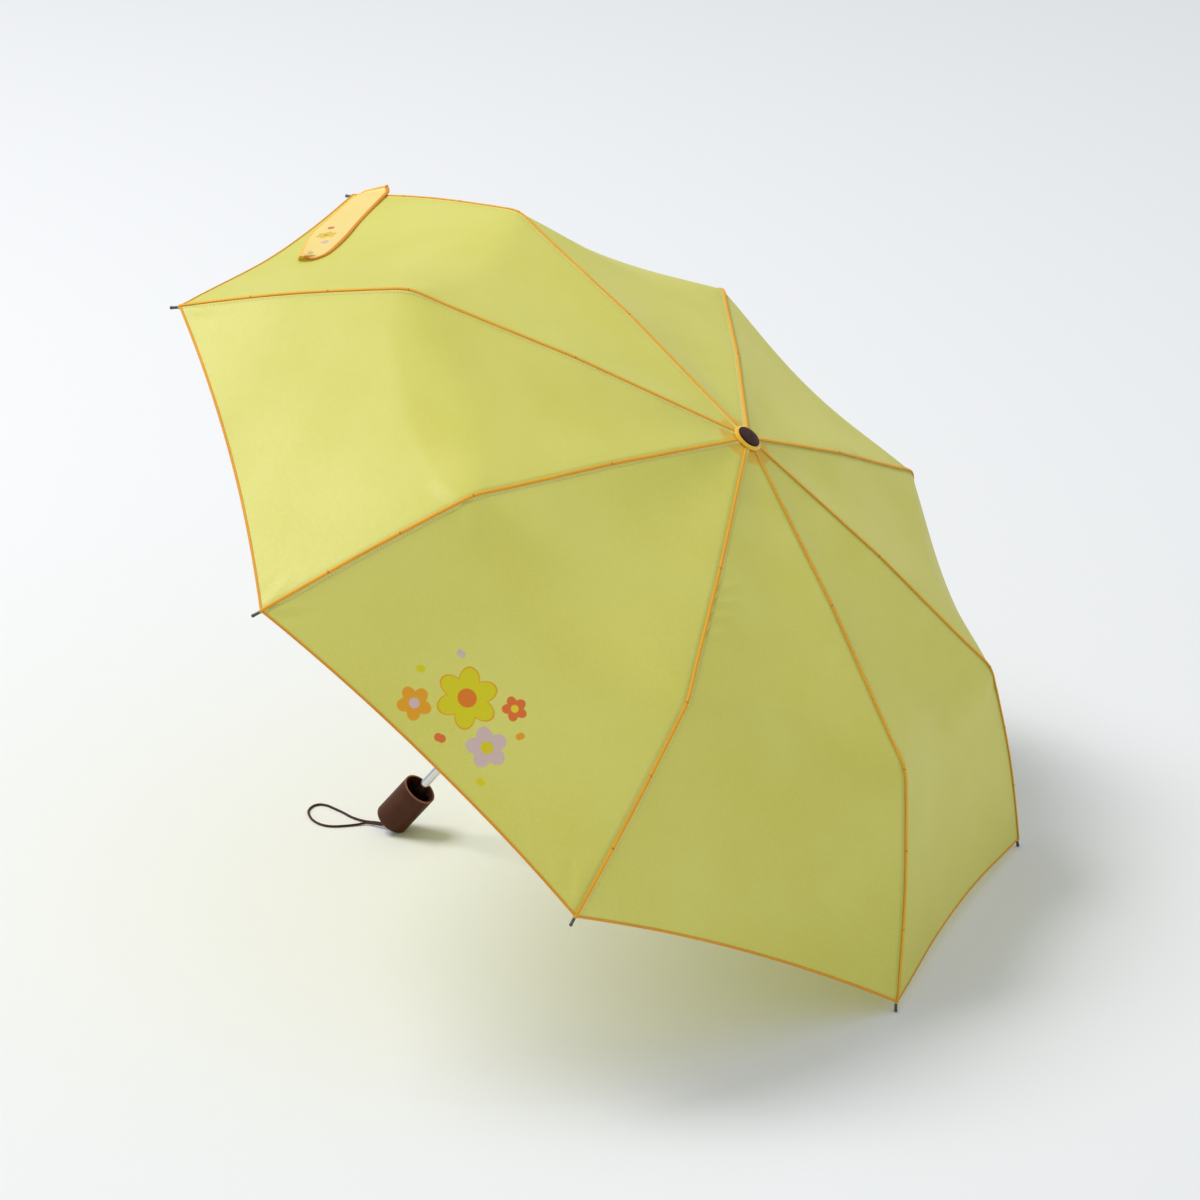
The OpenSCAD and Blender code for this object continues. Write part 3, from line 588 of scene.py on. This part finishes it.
def add_gore(build, j, k, cols):
    """The cloth of section k on half of panel j + 1."""
    rows = slice(CUTS[k], CUTS[k + 1] + 1)
    p, n, f = (x[rows, cols] for x in gores[j])
    build.add(p, grid_faces(*p.shape[:2]), 0, n, f)


def add_patch(build, j, cols):
    """The reinforcing patch under the cloth at the crown, over half a panel."""
    a = A[cols][::2]
    s = np.stack([np.full_like(a, PATCH_START + t * (PATCH_END - PATCH_START)) - t * PATCH_CURVE * (1 - a ** 2)
                  for t in np.linspace(0, 1, PATCH_ROWS)])
    q = cloth(j, s, a[None], -PATCH_UNDER, plain=True)
    build.add(q, grid_faces(*q.shape[:2]), 1, flat=flat_coordinates(j, s, a[None]), outside=-UP)


def gather(piece, i, ends, j, s_toward):
    """Gives the piece its own copy of its mesh; the cloth is not pressed against the rib as the umbrella folds. ends
    are the section's ends, and s_toward is a place on panel j + 1's middle line; the points worked out from them are
    not used."""
    rib, _, _ = rib_points(i, np.array([ends[0] + RIB_MARGIN, ends[1] - RIB_MARGIN]))
    toward = cloth(j, s_toward, 0.0, plain=True) - rib[0]
    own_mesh(piece)


PATCH_START, PATCH_END, PATCH_CURVE, PATCH_UNDER, PATCH_ROWS = 5.6, 31 - HUB_R, 1.6, 0.4, 7
SECTION_ENDS = ((0, S1), (S1, S2), (S2, S3))
RIB_MARGIN = 20.0
# The middle pieces reach over the knee's bend, so their place on the middle line lies between rib and bend.
GATHER_FROM = (S1 - 20, S2 + 0.72 * (BORDERS[2].max() - S2), S3 - 60)
PRINTED = 1  # the panel with the print, counted from 0
for i in range(COUNT):
    before = (i - 1) % COUNT
    for k, section in enumerate(SECTIONS):
        body = f"{section}_rib_{i + 1}"
        for side, j in ((1, i), (-1, before)):
            b = Build()
            add_gore(b, j, k, HALVES[side])
            mats, stands_for = [canopy_cloth], []
            if k == 0:
                add_patch(b, j, HALVES[side])
                mats, stands_for = [canopy_cloth, patch_cloth], ["hub_patch"]
            elif k == 2:
                hem_band(b, j, HALVES[side])
                mats = [printed_cloth if j == PRINTED else canopy_cloth, hem_tape, seam_thread]
                stands_for = [f"panel_{i + 1}"] if side == 1 else []
            piece = b.make(piece_name(section, i, side), mats, body, stands_for)
            gather(piece, i, SECTION_ENDS[k], j, GATHER_FROM[k])


# ---------------------------------------------------------------- seams along the ribs
# Sizes in millimetres. A profile is points (distance from the rib, height above the cloth).
SEAM_START, SEAM_STEP, PIPING_SIDES = 1.0, 3, 10
PIPING_WIDE, PIPING_TALL, PIPING_LIFT, PIPING_ROUND = 1.5, 0.76, 0.46, 1.15
# the strip that carries the painted highlight of the seam's lit edge
HIGHLIGHT_STRIP = [(1.1, 0.02), (1.5, 0.3), (3.6, 0.22), (4.2, 0.02)]
INNER_EDGE = [(0.4, -0.2), (0.8, -0.45), (4.6, -0.4), (4.9, -0.1)]
STITCH_STEP, STITCH_LINE, STITCH_MARGIN, HUB_MARGIN = 3.1, (3.0, 3.4), 2, 10
STITCH_ARCH = ((-1.0, 0.15), (-0.6, 0.42), (0.6, 0.42), (1.0, 0.15))
TIES = ((S1 - 2,), (S2 - 2,), (S2 + 68, S2 + 136))
TIE_TURNS = np.linspace(-0.35, np.pi + 0.35, 14)
TIE_WIDE, TIE_TALL, TIE_LIFT, TIE_APART = 1.3, 0.82, 0.35, 0.35
THREAD_R, THREAD_SIDES = 0.24, 6
POCKET_FROM_END, POCKET_R = (15, 13, 8, 6.2, 5.9), (1.15, 1.75, 1.9, 1.75, 1.4)
POCKET_ROUND, POCKET_SIDES = 1.8, 16


def beside_rib(dist, half_width):
    """Place across a panel from 0 in its middle to 1 on its rib, at a distance from the rib."""
    return 1 - np.minimum(dist / half_width, 0.9)


def add_piping(build, i, s, centre, up3):
    grow = np.clip(s / 14, 0.55, 1.0)[:, None, None]
    angles = round_angles(PIPING_SIDES)
    ring = np.stack([PIPING_WIDE * np.cos(angles), PIPING_LIFT + PIPING_TALL * np.sin(angles)], -1) * MM
    pts = centre[:, None] + grow * ring[None, :, :1] * TANGENT[i] + grow * ring[None, :, 1:] * up3[:, None]
    build.add(pts, tube_faces(len(s), PIPING_SIDES), 0, flat=flat_grid(angles * PIPING_ROUND, s[:, None]),
              outside=(pts - centre[:, None]).reshape(-1, 3))


def add_strips(build, i, s, up3):
    """A strip of the folded seam beside the piping, coloured lighter on one side of the rib as a painted highlight of
    the seam's lit edge, and the seam's two edges inside.
    """
    half_width = rib_curve(s, 1.0)[:, 0] * math.sin(HALF)
    for j, sign, profile, mat in ((i, -1, HIGHLIGHT_STRIP, 1), (i, -1, INNER_EDGE, 2),
                                  ((i - 1) % COUNT, 1, INNER_EDGE, 2)):
        q = np.stack([cloth(j, s, sign * beside_rib(dist, half_width), out, plain=True)
                      for dist, out in profile], 1)
        flat = np.stack([flat_coordinates(j, s, sign * beside_rib(dist, half_width)) for dist, _ in profile], 1)
        build.add(q, grid_faces(*q.shape[:2]), mat, flat=flat,
                  outside=(1 if mat == 1 else -1) * up3[len(s) // 2])


def add_stitches(build, i, low, high, up3):
    """A row of stitches along the painted-highlight strip."""
    marks = np.arange(low, high, STITCH_STEP)
    half_width = rib_curve(marks, 1.0)[:, 0] * math.sin(HALF)
    q = np.stack([np.stack([cloth(i, marks + ds, -beside_rib(dist, half_width), lift, plain=True)
                            for dist in STITCH_LINE], 1) for ds, lift in STITCH_ARCH], 1)
    build.add(q.reshape(-1, 3), stitch_faces(len(marks)), 3, outside=up3[0])


def add_tie(build, i, at):
    """Two turns of thread that hold the cloth to the rib."""
    x, y = np.cos(TIE_TURNS)[:, None], np.sin(TIE_TURNS)[:, None]
    ring = [(THREAD_R * MM * math.cos(t), THREAD_R * MM * math.sin(t)) for t in round_angles(THREAD_SIDES)]
    for step in (-TIE_APART, TIE_APART):
        centre, up3, along3 = rib_points(i, np.array([at + step]))
        centres = centre + x * TIE_WIDE * MM * TANGENT[i] + (TIE_LIFT + y * TIE_TALL) * MM * up3
        out = unit(x * TANGENT[i] + y * up3)
        pts, faces = sweep(centres, np.repeat(along3, len(TIE_TURNS), 0), out, ring)
        build.add(pts, faces, 4, outside=pts - np.repeat(centres, THREAD_SIDES, 0))


def add_pocket(build, i):
    """The pocket sewn over the rib's end."""
    reach, radii = WIRE_END - vec(POCKET_FROM_END), vec(POCKET_R)
    centre = CROWN + in_rib_plane(KNEE + reach[:, None] * along(OUTER_SLOPE), i)
    lift3 = in_rib_plane(np.repeat(above(OUTER_SLOPE)[None], len(reach), 0), i)
    angles = round_angles(POCKET_SIDES)
    pts = (centre[:, None] + radii[:, None, None] * (np.cos(angles)[None, :, None] * TANGENT[i]
           + np.sin(angles)[None, :, None] * lift3[:, None])) * MM
    build.add(pts, grid_faces(len(reach), POCKET_SIDES, wrap=True), 2,
              flat=flat_grid(angles * POCKET_ROUND, reach[:, None]),
              outside=(pts - centre[:, None] * MM).reshape(-1, 3))


def seam(i, k):
    low, high = (SEAM_START if k == 0 else SECTION_ENDS[k][0]), SECTION_ENDS[k][1]
    s = np.linspace(low, high, int((high - low) / SEAM_STEP) + 1)
    centre, up3, _ = rib_points(i, s)
    b = Build()
    add_piping(b, i, s, centre, up3)
    add_strips(b, i, s, up3)
    add_stitches(b, i, low + STITCH_MARGIN + (HUB_MARGIN if k == 0 else 0), high - STITCH_MARGIN, up3)
    for at in TIES[k]:
        add_tie(b, i, at)
    if k == 2:
        add_pocket(b, i)
    piece = b.make(f"seam_{SECTIONS[k]}_{i + 1}",
                   [seam_piping, seam_painted_highlight, canopy_cloth, seam_thread, tie_thread],
                   f"{SECTIONS[k]}_rib_{i + 1}")
    if k < 2:
        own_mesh(piece)


for i in range(COUNT):
    for k in range(len(SECTIONS)):
        seam(i, k)

# ---------------------------------------------------------------- tie strap
LAST = COUNT - 1
CHORD = rib_curve(S3, 1.0)[0] * math.sin(HALF)


def smooth_line(points, t):
    """Catmull-Rom curve through points, at shares t from 0 to 1."""
    p = vec(points)
    p = np.concatenate([[2 * p[0] - p[1]], p, [2 * p[-1] - p[-2]]])
    x = np.clip(vec(t), 0, 1) * (len(p) - 3)
    k = np.minimum(x.astype(int), len(p) - 4)
    u = (x - k)[:, None]
    a, b, c, d = p[k], p[k + 1], p[k + 2], p[k + 3]
    return 0.5 * (2 * b + (c - a) * u + (2 * a - 5 * b + 4 * c - d) * u ** 2 + (3 * b - a - 3 * c + d) * u ** 3)


# The strap's long edges from its loose end, as millimetres from the hem's second rib and up from the hem.
STRAP_TOP = [(144, 55), (150, 62), (171, 66), (220, 60), (269, 52), (330, 45), (352, 42), (360, 38)]
STRAP_LOW = [(143, 50), (152, 43), (185, 31), (235, 16), (290, 11), (335, 8), (350, 10), (357, 14)]
LONG, WIDE = 61, 13  # points along and across the strap
T_STRAP, W_STRAP = np.linspace(0, 1, LONG), np.linspace(0, 1, WIDE)
high_edge, low_edge = smooth_line(STRAP_TOP, T_STRAP), smooth_line(STRAP_LOW, T_STRAP)
plan = high_edge[:, None] * (1 - W_STRAP[None, :, None]) + low_edge[:, None] * W_STRAP[None, :, None]
# How far the strap stands off the cloth: its loose end curls, its sewn end lifts over the rib.
OFF, CURL, CURL_SHARE, LIFT, LIFT_SHARE, STRAP_HALF = 1.2, 4.5, 0.16, 5.0, 0.2, 0.35
off_cloth = (OFF + CURL * np.clip((CURL_SHARE - T_STRAP) / CURL_SHARE, 0, 1)[:, None] ** 2
             + LIFT * np.clip((T_STRAP - (1 - LIFT_SHARE)) / LIFT_SHARE, 0, 1)[:, None] ** 2
             * (1 - 0.6 * W_STRAP[None])
             + 0.7 * np.sin(T_STRAP * 19)[:, None] * np.sin(np.pi * W_STRAP)[None]
             + 0.5 * np.sin(T_STRAP * 8 + 1)[:, None])


def strap_at(xy, out):
    s = S3 - xy[..., 1]
    half_width = rib_curve(s, 1.0)[..., 0] * math.sin(HALF)
    return cloth(LAST, s, (CHORD - xy[..., 0]) / half_width, out, plain=True)


strap = Build()
strap_flat = flat_grid(plan[..., 0], plan[..., 1])
upper = strap_at(plan, off_cloth + STRAP_HALF)
lower = strap_at(plan, off_cloth - STRAP_HALF)
turned = grid_normals(upper)
outward = 1 if (turned[LONG // 2, WIDE // 2] @ UP) > 0 else -1
strap.add(upper, grid_faces(LONG, WIDE), 0, turned * outward, strap_flat)
strap.add(lower, grid_faces(LONG, WIDE), 0, -turned * outward, strap_flat)

# Binding tape all round the strap's edge, broader on its high edge; the high edge is a darker copy of the tape as
# painted shade, the other edges a lighter copy as painted light.
BINDING = [(-0.45, 0), (-0.3, 0.5), (0.4, 0.72), (2.2, 0.66), (2.4, 0.4), (2.4, -0.4), (2.2, -0.66), (0.4, -0.72),
           (-0.3, -0.5)]
BINDING_STEP, BOLD, SLIM = 3.3, 1.25, 0.8
rim = ([(k, 0) for k in range(LONG)] + [(LONG - 1, k) for k in range(1, WIDE)]
       + [(k, WIDE - 1) for k in range(LONG - 2, -1, -1)] + [(0, k) for k in range(WIDE - 2, 0, -1)])
centre = np.array([(upper[a, b] + lower[a, b]) / 2 for a, b in rim])
face_out = np.array([turned[a, b] * outward for a, b in rim])
tangent = unit(np.roll(centre, -1, 0) - np.roll(centre, 1, 0))
inward = unit(np.cross(face_out, tangent))
if (inward[LONG // 2] @ (upper[LONG // 2, WIDE // 2] - upper[LONG // 2, 0])) < 0:
    inward = -inward
bold = np.array([BOLD if b == 0 else SLIM for _, b in rim])[:, None]
ring = np.stack([centre + (x * inward + z * face_out) * bold * MM for x, z in BINDING], 1)
around, across = len(rim), len(BINDING)
ring_faces = [[k * across + m, k * across + (m + 1) % across, (k + 1) % around * across + (m + 1) % across,
               (k + 1) % around * across + m] for k in range(around) for m in range(across)]
strap.add(ring, ring_faces, [1 if rim[k][1] == 0 else 3 for k in range(around) for _ in range(across)],
          flat=flat_grid(np.arange(across), np.arange(around)[:, None] * BINDING_STEP),
          outside=(ring - ring.mean(1, keepdims=True)).reshape(-1, 3))

# Press stud on the loose end, turned round its own axis: points (radius, height).
STUD_AT, STUD_OFF, STUD_SIDES = vec((160, 50)), 4.2, 28
STUD = [(5.0, 0.0), (5.1, 0.35), (4.6, 0.75), (3.9, 0.8), (3.5, 0.55), (3.1, 0.6), (2.9, 1.3), (1.8, 1.7),
        (1.2, 1.5)]
STUD_TOP = 1.45
base = strap_at(STUD_AT[None], vec([STUD_OFF]))[0]
snap_up = unit(strap_at(STUD_AT[None], vec([STUD_OFF + 5]))[0] - base)
snap_x = unit(np.cross(snap_up, TANGENT[LAST]))
snap_y = np.cross(snap_up, snap_x)
snap = np.array([[base + (r * math.cos(t) * snap_x + r * math.sin(t) * snap_y + h * snap_up) * MM
                  for t in round_angles(STUD_SIDES)] for r, h in STUD])
strap.add(snap, grid_faces(len(STUD), STUD_SIDES, wrap=True), 2,
          outside=(snap - base).reshape(-1, 3) + snap_up * MM)
strap.add([base + snap_up * STUD_TOP * MM] + list(snap[-1]),
          [[0, k + 1, (k + 1) % STUD_SIDES + 1] for k in range(STUD_SIDES)], 2, outside=snap_up)

STRAP_MARKS = [(226, 36, 9.5, 6, 0.2, "E2CE20", "E08A20", "E39A10"), (249, 30, 4.5, 2, 0.4, "E0702E", None, None),
               (205, 45, 4.5, 2, 0.0, "D2B8B4", None, None)]
strap_cloth = fabric("strap_cloth", "F7DD84", "F3D778", "FAE8A2", marks=STRAP_MARKS, soft=0.12, wave=0.4)
# painted shade and painted light: one binding tape, darker on the high edge and lighter on the other edges
strap_binding_painted_shade = fabric("strap_binding_painted_shade", "D98A06", "CF7E02", "E59C1C", soft=0.0, wave=0.3, sheen=0.0, rough=0.65)
strap_binding_painted_light = fabric("strap_binding_painted_light", "F0BE4A", "EAB43C", "F5CC6A", soft=0.0, wave=0.3, sheen=0.0, rough=0.65)
snap_plastic = solid("snap_plastic", "E6C868", 0.35, vary=0.1, coat=0.2)
tie = strap.make("tie_strap_cloth", [strap_cloth, strap_binding_painted_shade, snap_plastic, strap_binding_painted_light], "outer_rib_8",
                 ["tie_strap", "strap_snap"])
gather(tie, LAST, SECTION_ENDS[2], LAST, GATHER_FROM[2])

# ---------------------------------------------------------------- wrist loop
HANDLE_TALL, FOOT_ROUND = 48, 3  # the straight grip is what lies between the handle's rim and its rounded foot
GRIP = vec(MOUNTS["handle_grip"]["pos_m"])
BASE = GRIP - UP * (HANDLE_TALL + FOOT_ROUND) / 2 * MM
# Route of the loop from the handle round and back, in millimetres in the frame.
LOOP = [
    (-223, 1.4, 6.6), (-228, 1.6, 4), (-237, 3.4, 2.8), (-247, 3.6, 2), (-256, 5.6, 1.4),
    (-266, 9, 1.2), (-277, 15, 1.2), (-288, 20, 1.2), (-298, 24, 1.2), (-306, 23.4, 1.2),
    (-310, 17, 1.2), (-309, 6, 1.2), (-303, -4, 1.2), (-295, -12, 1.2), (-285, -17, 1.2),
    (-274, -17, 1.2), (-264, -12, 1.2), (-255, -6, 1.3), (-246, 0.4, 2), (-237, 0, 2.8),
    (-228, -1.4, 4), (-223, -1.4, 6.6)]
STRAND_Y, CORD_R, PLAIT_DEEP, IN_PLUG = 1.4, 1.1, 0.1, 3
CORD_STEP, PLAIT_LONG, CORD_SIDES = 0.00055, 0.0034, 24
Y = np.array([0, 1.0, 0])
route = [BASE + UP * IN_PLUG * MM + Y * STRAND_Y * MM, BASE + Y * STRAND_Y * MM]
route += [vec(p) * MM for p in LOOP]
route += [BASE - Y * STRAND_Y * MM, BASE + UP * IN_PLUG * MM - Y * STRAND_Y * MM]
fine = smooth_line(route, np.linspace(0, 1, 40 * len(route)))
lengths = np.concatenate([[0], np.cumsum(np.linalg.norm(np.diff(fine, axis=0), axis=1))])
CORD_LENGTH = float(lengths[-1])
steps = np.arange(0, CORD_LENGTH, CORD_STEP)
middle = np.stack([np.interp(steps, lengths, fine[:, k]) for k in range(3)], -1)
forward = unit(np.gradient(middle, axis=0))
across = unit(np.cross(forward, np.array([0, 0, 1.0])))
upward = np.cross(across, forward)
turns = round_angles(CORD_SIDES)
twist = steps[:, None] / PLAIT_LONG * 2 * np.pi
plait = np.maximum(np.cos(4 * turns[None] + twist), np.cos(4 * turns[None] - twist))
radius = (CORD_R - PLAIT_DEEP + PLAIT_DEEP * plait) * MM
tube = middle[:, None] + radius[..., None] * (np.cos(turns)[None, :, None] * across[:, None]
                                             + np.sin(turns)[None, :, None] * upward[:, None])
loop = Build()
loop.add(tube, tube_faces(len(steps), CORD_SIDES), outside=(tube - middle[:, None]).reshape(-1, 3))
loop_cord = solid("loop_cord", "3A1814", 0.62, vary=0.35, grain=3000, bump=0.00012, second="4A211B", spec=0.35)
wrist = loop.make("wrist_loop_cord", [loop_cord], "lower_tube", ["wrist_loop"])


# ---------------------------------------------------------------- materials of the CAD pieces
def steel(name, colour, rough, brushed=0.0, dark="8A8984"):
    """Plated steel: uneven gloss, faint scratches along the piece and darker smudges."""
    m, tree, shader = nodes_of(name)
    n = Nodes(tree)
    at = place(tree)
    wide = n.noise(at, 45.0, 5.0, 0.6)
    stretch = n.node("ShaderNodeMapping", {"Vector": at, "Scale": (900.0, 900.0, 60.0)}).outputs[0]
    lines = n.noise(stretch, 1.0, 3.0, 0.6)
    n.set(shader.inputs["Base Color"], n.mix(n.ramp(wide, 0.62, 0.85, 0.0, 0.55), srgb(colour), srgb(dark)))
    n.set(shader.inputs["Roughness"], n.ramp(n.math("ADD", wide, n.math("MULTIPLY", lines, brushed)), 0.3, 1.0,
                                             rough * 0.7, rough * 1.7))
    shader.inputs["Metallic"].default_value = 1.0
    n.set(shader.inputs["Normal"], n.bump(lines, 0.12, 0.00002))
    return m


def distance_from_shaft(n, at):
    """Distance from the shaft's middle line, and height along it from the crown."""
    off = n.vmath("SUBTRACT", at, tuple(CROWN * MM))
    return n.vmath("LENGTH", n.vmath("CROSS_PRODUCT", off, tuple(UP))), n.vmath("DOT_PRODUCT", off, tuple(UP))


CAP_EDGE = (0.0098, 0.0104)
# Metres from the shaft's middle line, and below the handle's rim.
LIGHTER_RIM_FROM, LIGHTER_RIM_LOW, SHADED_INSIDE_R, SHADED_INSIDE_LOW = (0.0146, 0.0152), (0.0016, 0.0002), (0.0152, 0.0148), (0.0425, 0.0395)


def cap_material():
    """Dark cap: brown disc with a black turned edge, semi-gloss."""
    m, tree, shader = nodes_of("cap_plastic")
    n = Nodes(tree)
    at = place(tree)
    far, _ = distance_from_shaft(n, at)
    wide = n.noise(at, 140.0, 4.0)
    disc = n.mix(n.ramp(wide, 0.3, 0.7), srgb("3F241C"), srgb("331C16"))
    n.set(shader.inputs["Base Color"], n.mix(n.ramp(far, *CAP_EDGE), disc, srgb("15100E")))
    n.set(shader.inputs["Roughness"], n.ramp(wide, 0.25, 0.75, 0.4, 0.55))
    shader.inputs["Specular IOR Level"].default_value = 0.15
    n.set(shader.inputs["Normal"], n.bump(n.noise(at, 1500.0, 2.0), 0.2, 0.00003))
    return m


def handle_material():
    """Moulded brown grip: satin skin with a fine leather-like grain, a lighter rim, and painted shade that makes the
    inside near-black.
    """
    m, tree, shader = nodes_of("handle_plastic")
    n = Nodes(tree)
    at = place(tree)
    far, high = distance_from_shaft(n, at)
    rim_high = float((GRIP - CROWN * MM) @ UP) + (HANDLE_TALL - FOOT_ROUND) / 2 * MM
    wide, grain = n.noise(at, 70.0, 4.0), n.noise(at, 900.0, 3.0, 0.6)
    skin = n.mix(n.ramp(wide, 0.3, 0.7), srgb("44210F"), srgb("4E2917"))
    # a lighter reddish band on the top edge of the rim
    lighter_rim = n.math("MULTIPLY", n.ramp(high, *(rim_high - x for x in LIGHTER_RIM_LOW)), n.ramp(far, *LIGHTER_RIM_FROM))
    skin = n.mix(lighter_rim, skin, srgb("8A5544"))
    # painted shade: the cup's inner wall, from the rim down about 40 mm, is coloured near-black
    inside = n.ramp(far, *SHADED_INSIDE_R)
    shaded_inside = n.math("MULTIPLY", inside, n.ramp(high, *(rim_high - x for x in SHADED_INSIDE_LOW)))
    n.set(shader.inputs["Base Color"], n.mix(shaded_inside, skin, srgb("1C1310")))
    n.set(shader.inputs["Roughness"], n.ramp(wide, 0.25, 0.75, 0.42, 0.58))
    shader.inputs["Specular IOR Level"].default_value = 0.2
    n.set(shader.inputs["Normal"], n.bump(grain, 0.3, 0.00008))
    return m


MATERIALS = {
    "cap_plastic": cap_material(),
    "washer_plastic": solid("washer_plastic", "F8B808", 0.2, vary=0.1, second="FFD02C", coat=0.4),
    "notch_plastic": solid("notch_plastic", "3B2018", 0.42, vary=0.2),
    "button_plastic": solid("button_plastic", "6B4432", 0.38, vary=0.15),
    "handle_plastic": handle_material(),
    "socket_plastic": solid("socket_plastic", "241510", 0.5, vary=0.2),
    "tube_chrome": steel("tube_chrome", "D9DBDD", 0.09, 0.3, "B9BCC0"),
    "ring_steel": steel("ring_steel", "B4B2AC", 0.24, 0.3),
    "rib_steel": steel("rib_steel", "C6C4BE", 0.27, 0.5),
    "rib_end": steel("rib_end", "5E5C5A", 0.3, 0.3, "3A3838"),
}
SLOTS = {
    "top_cap": "cap_plastic", "cap_washer": "washer_plastic", "crown_notch": "notch_plastic",
    "crown_ring": "ring_steel", "upper_tube": "tube_chrome", "middle_tube": "tube_chrome",
    "lower_tube": "tube_chrome", "middle_ferrule": "ring_steel", "upper_ferrule": "ring_steel",
    "runner": "notch_plastic", "runner_ring": "ring_steel", "release_button": "button_plastic",
    "button_spring": "ring_steel", "handle_cup": "handle_plastic", "handle_socket": "socket_plastic",
    "loop_anchor": "socket_plastic",
}
LINKS = {"top": "rib_steel", "middle": "rib_steel", "outer": "rib_end", "stretcher": "rib_steel"}
for name, obj in frame["nodes"].items():
    slot = SLOTS.get(name) or LINKS.get(name.split("_")[0])
    if slot is None:
        continue
    obj.data.materials.clear()
    obj.data.materials.append(MATERIALS[slot])


# ---------------------------------------------------------------- floor, world and lights
def stage_material(name, colour):
    """Plain matt floor, which a camera under it sees through."""
    m, tree, shader = nodes_of(name)
    n = Nodes(tree)
    facing = n.node("ShaderNodeNewGeometry").outputs["Backfacing"]
    clear = n.node("ShaderNodeBsdfTransparent").outputs[0]
    both = n.node("ShaderNodeMixShader", {0: facing, 1: shader.outputs[0], 2: clear})
    tree.links.new(both.outputs[0], tree.nodes["Material Output"].inputs["Surface"])
    shader.inputs["Base Color"].default_value = colour
    shader.inputs["Roughness"].default_value = 0.95
    shader.inputs["Specular IOR Level"].default_value = 0.1
    return m


FLOOR_SIDE, FLOOR_BACK, FLOOR_COLOUR = 15, 25, (0.80, 0.81, 0.82, 1)
WORLD_COLOUR, WORLD_STRENGTH = (0.93, 0.96, 1.0, 1), 0.62
floor_mesh = bpy.data.meshes.new("floor")
floor_mesh.from_pydata([(-FLOOR_SIDE, -FLOOR_SIDE, 0), (FLOOR_SIDE, -FLOOR_SIDE, 0), (FLOOR_SIDE, FLOOR_BACK, 0),
                        (-FLOOR_SIDE, FLOOR_BACK, 0)], [], [[0, 1, 2, 3]])
floor_mesh.materials.append(stage_material("floor", FLOOR_COLOUR))
floor = bpy.data.objects.new("floor", floor_mesh)
bpy.context.scene.collection.objects.link(floor)

world = bpy.data.worlds.new("world")
world.use_nodes = True
world.node_tree.nodes["Background"].inputs[0].default_value = WORLD_COLOUR
world.node_tree.nodes["Background"].inputs[1].default_value = WORLD_STRENGTH
bpy.context.scene.world = world
bpy.context.scene.view_settings.view_transform = "Standard"


def lamp(name, position, target, size, watts, colour):
    """Soft round lamp that looks at target."""
    light = bpy.data.lights.new(name, "AREA")
    light.shape = "DISK"
    light.size, light.energy, light.color = size, watts, colour
    obj = bpy.data.objects.new(name, light)
    obj.matrix_world = Matrix.Translation(Vector(position)) @ (
        Vector(target) - Vector(position)).to_track_quat("-Z", "Y").to_matrix().to_4x4()
    bpy.context.scene.collection.objects.link(obj)


LAMPS_LOOK_AT = (0, 0, 0.3)
lamp("key", (-3.3, -0.2, 5.3), LAMPS_LOOK_AT, 3.2, 250, (1.0, 0.985, 0.96))
lamp("fill", (4.0, -2.6, 2.3), LAMPS_LOOK_AT, 3.0, 10, (1.0, 1.0, 1.0))

bpy.context.view_layer.update()
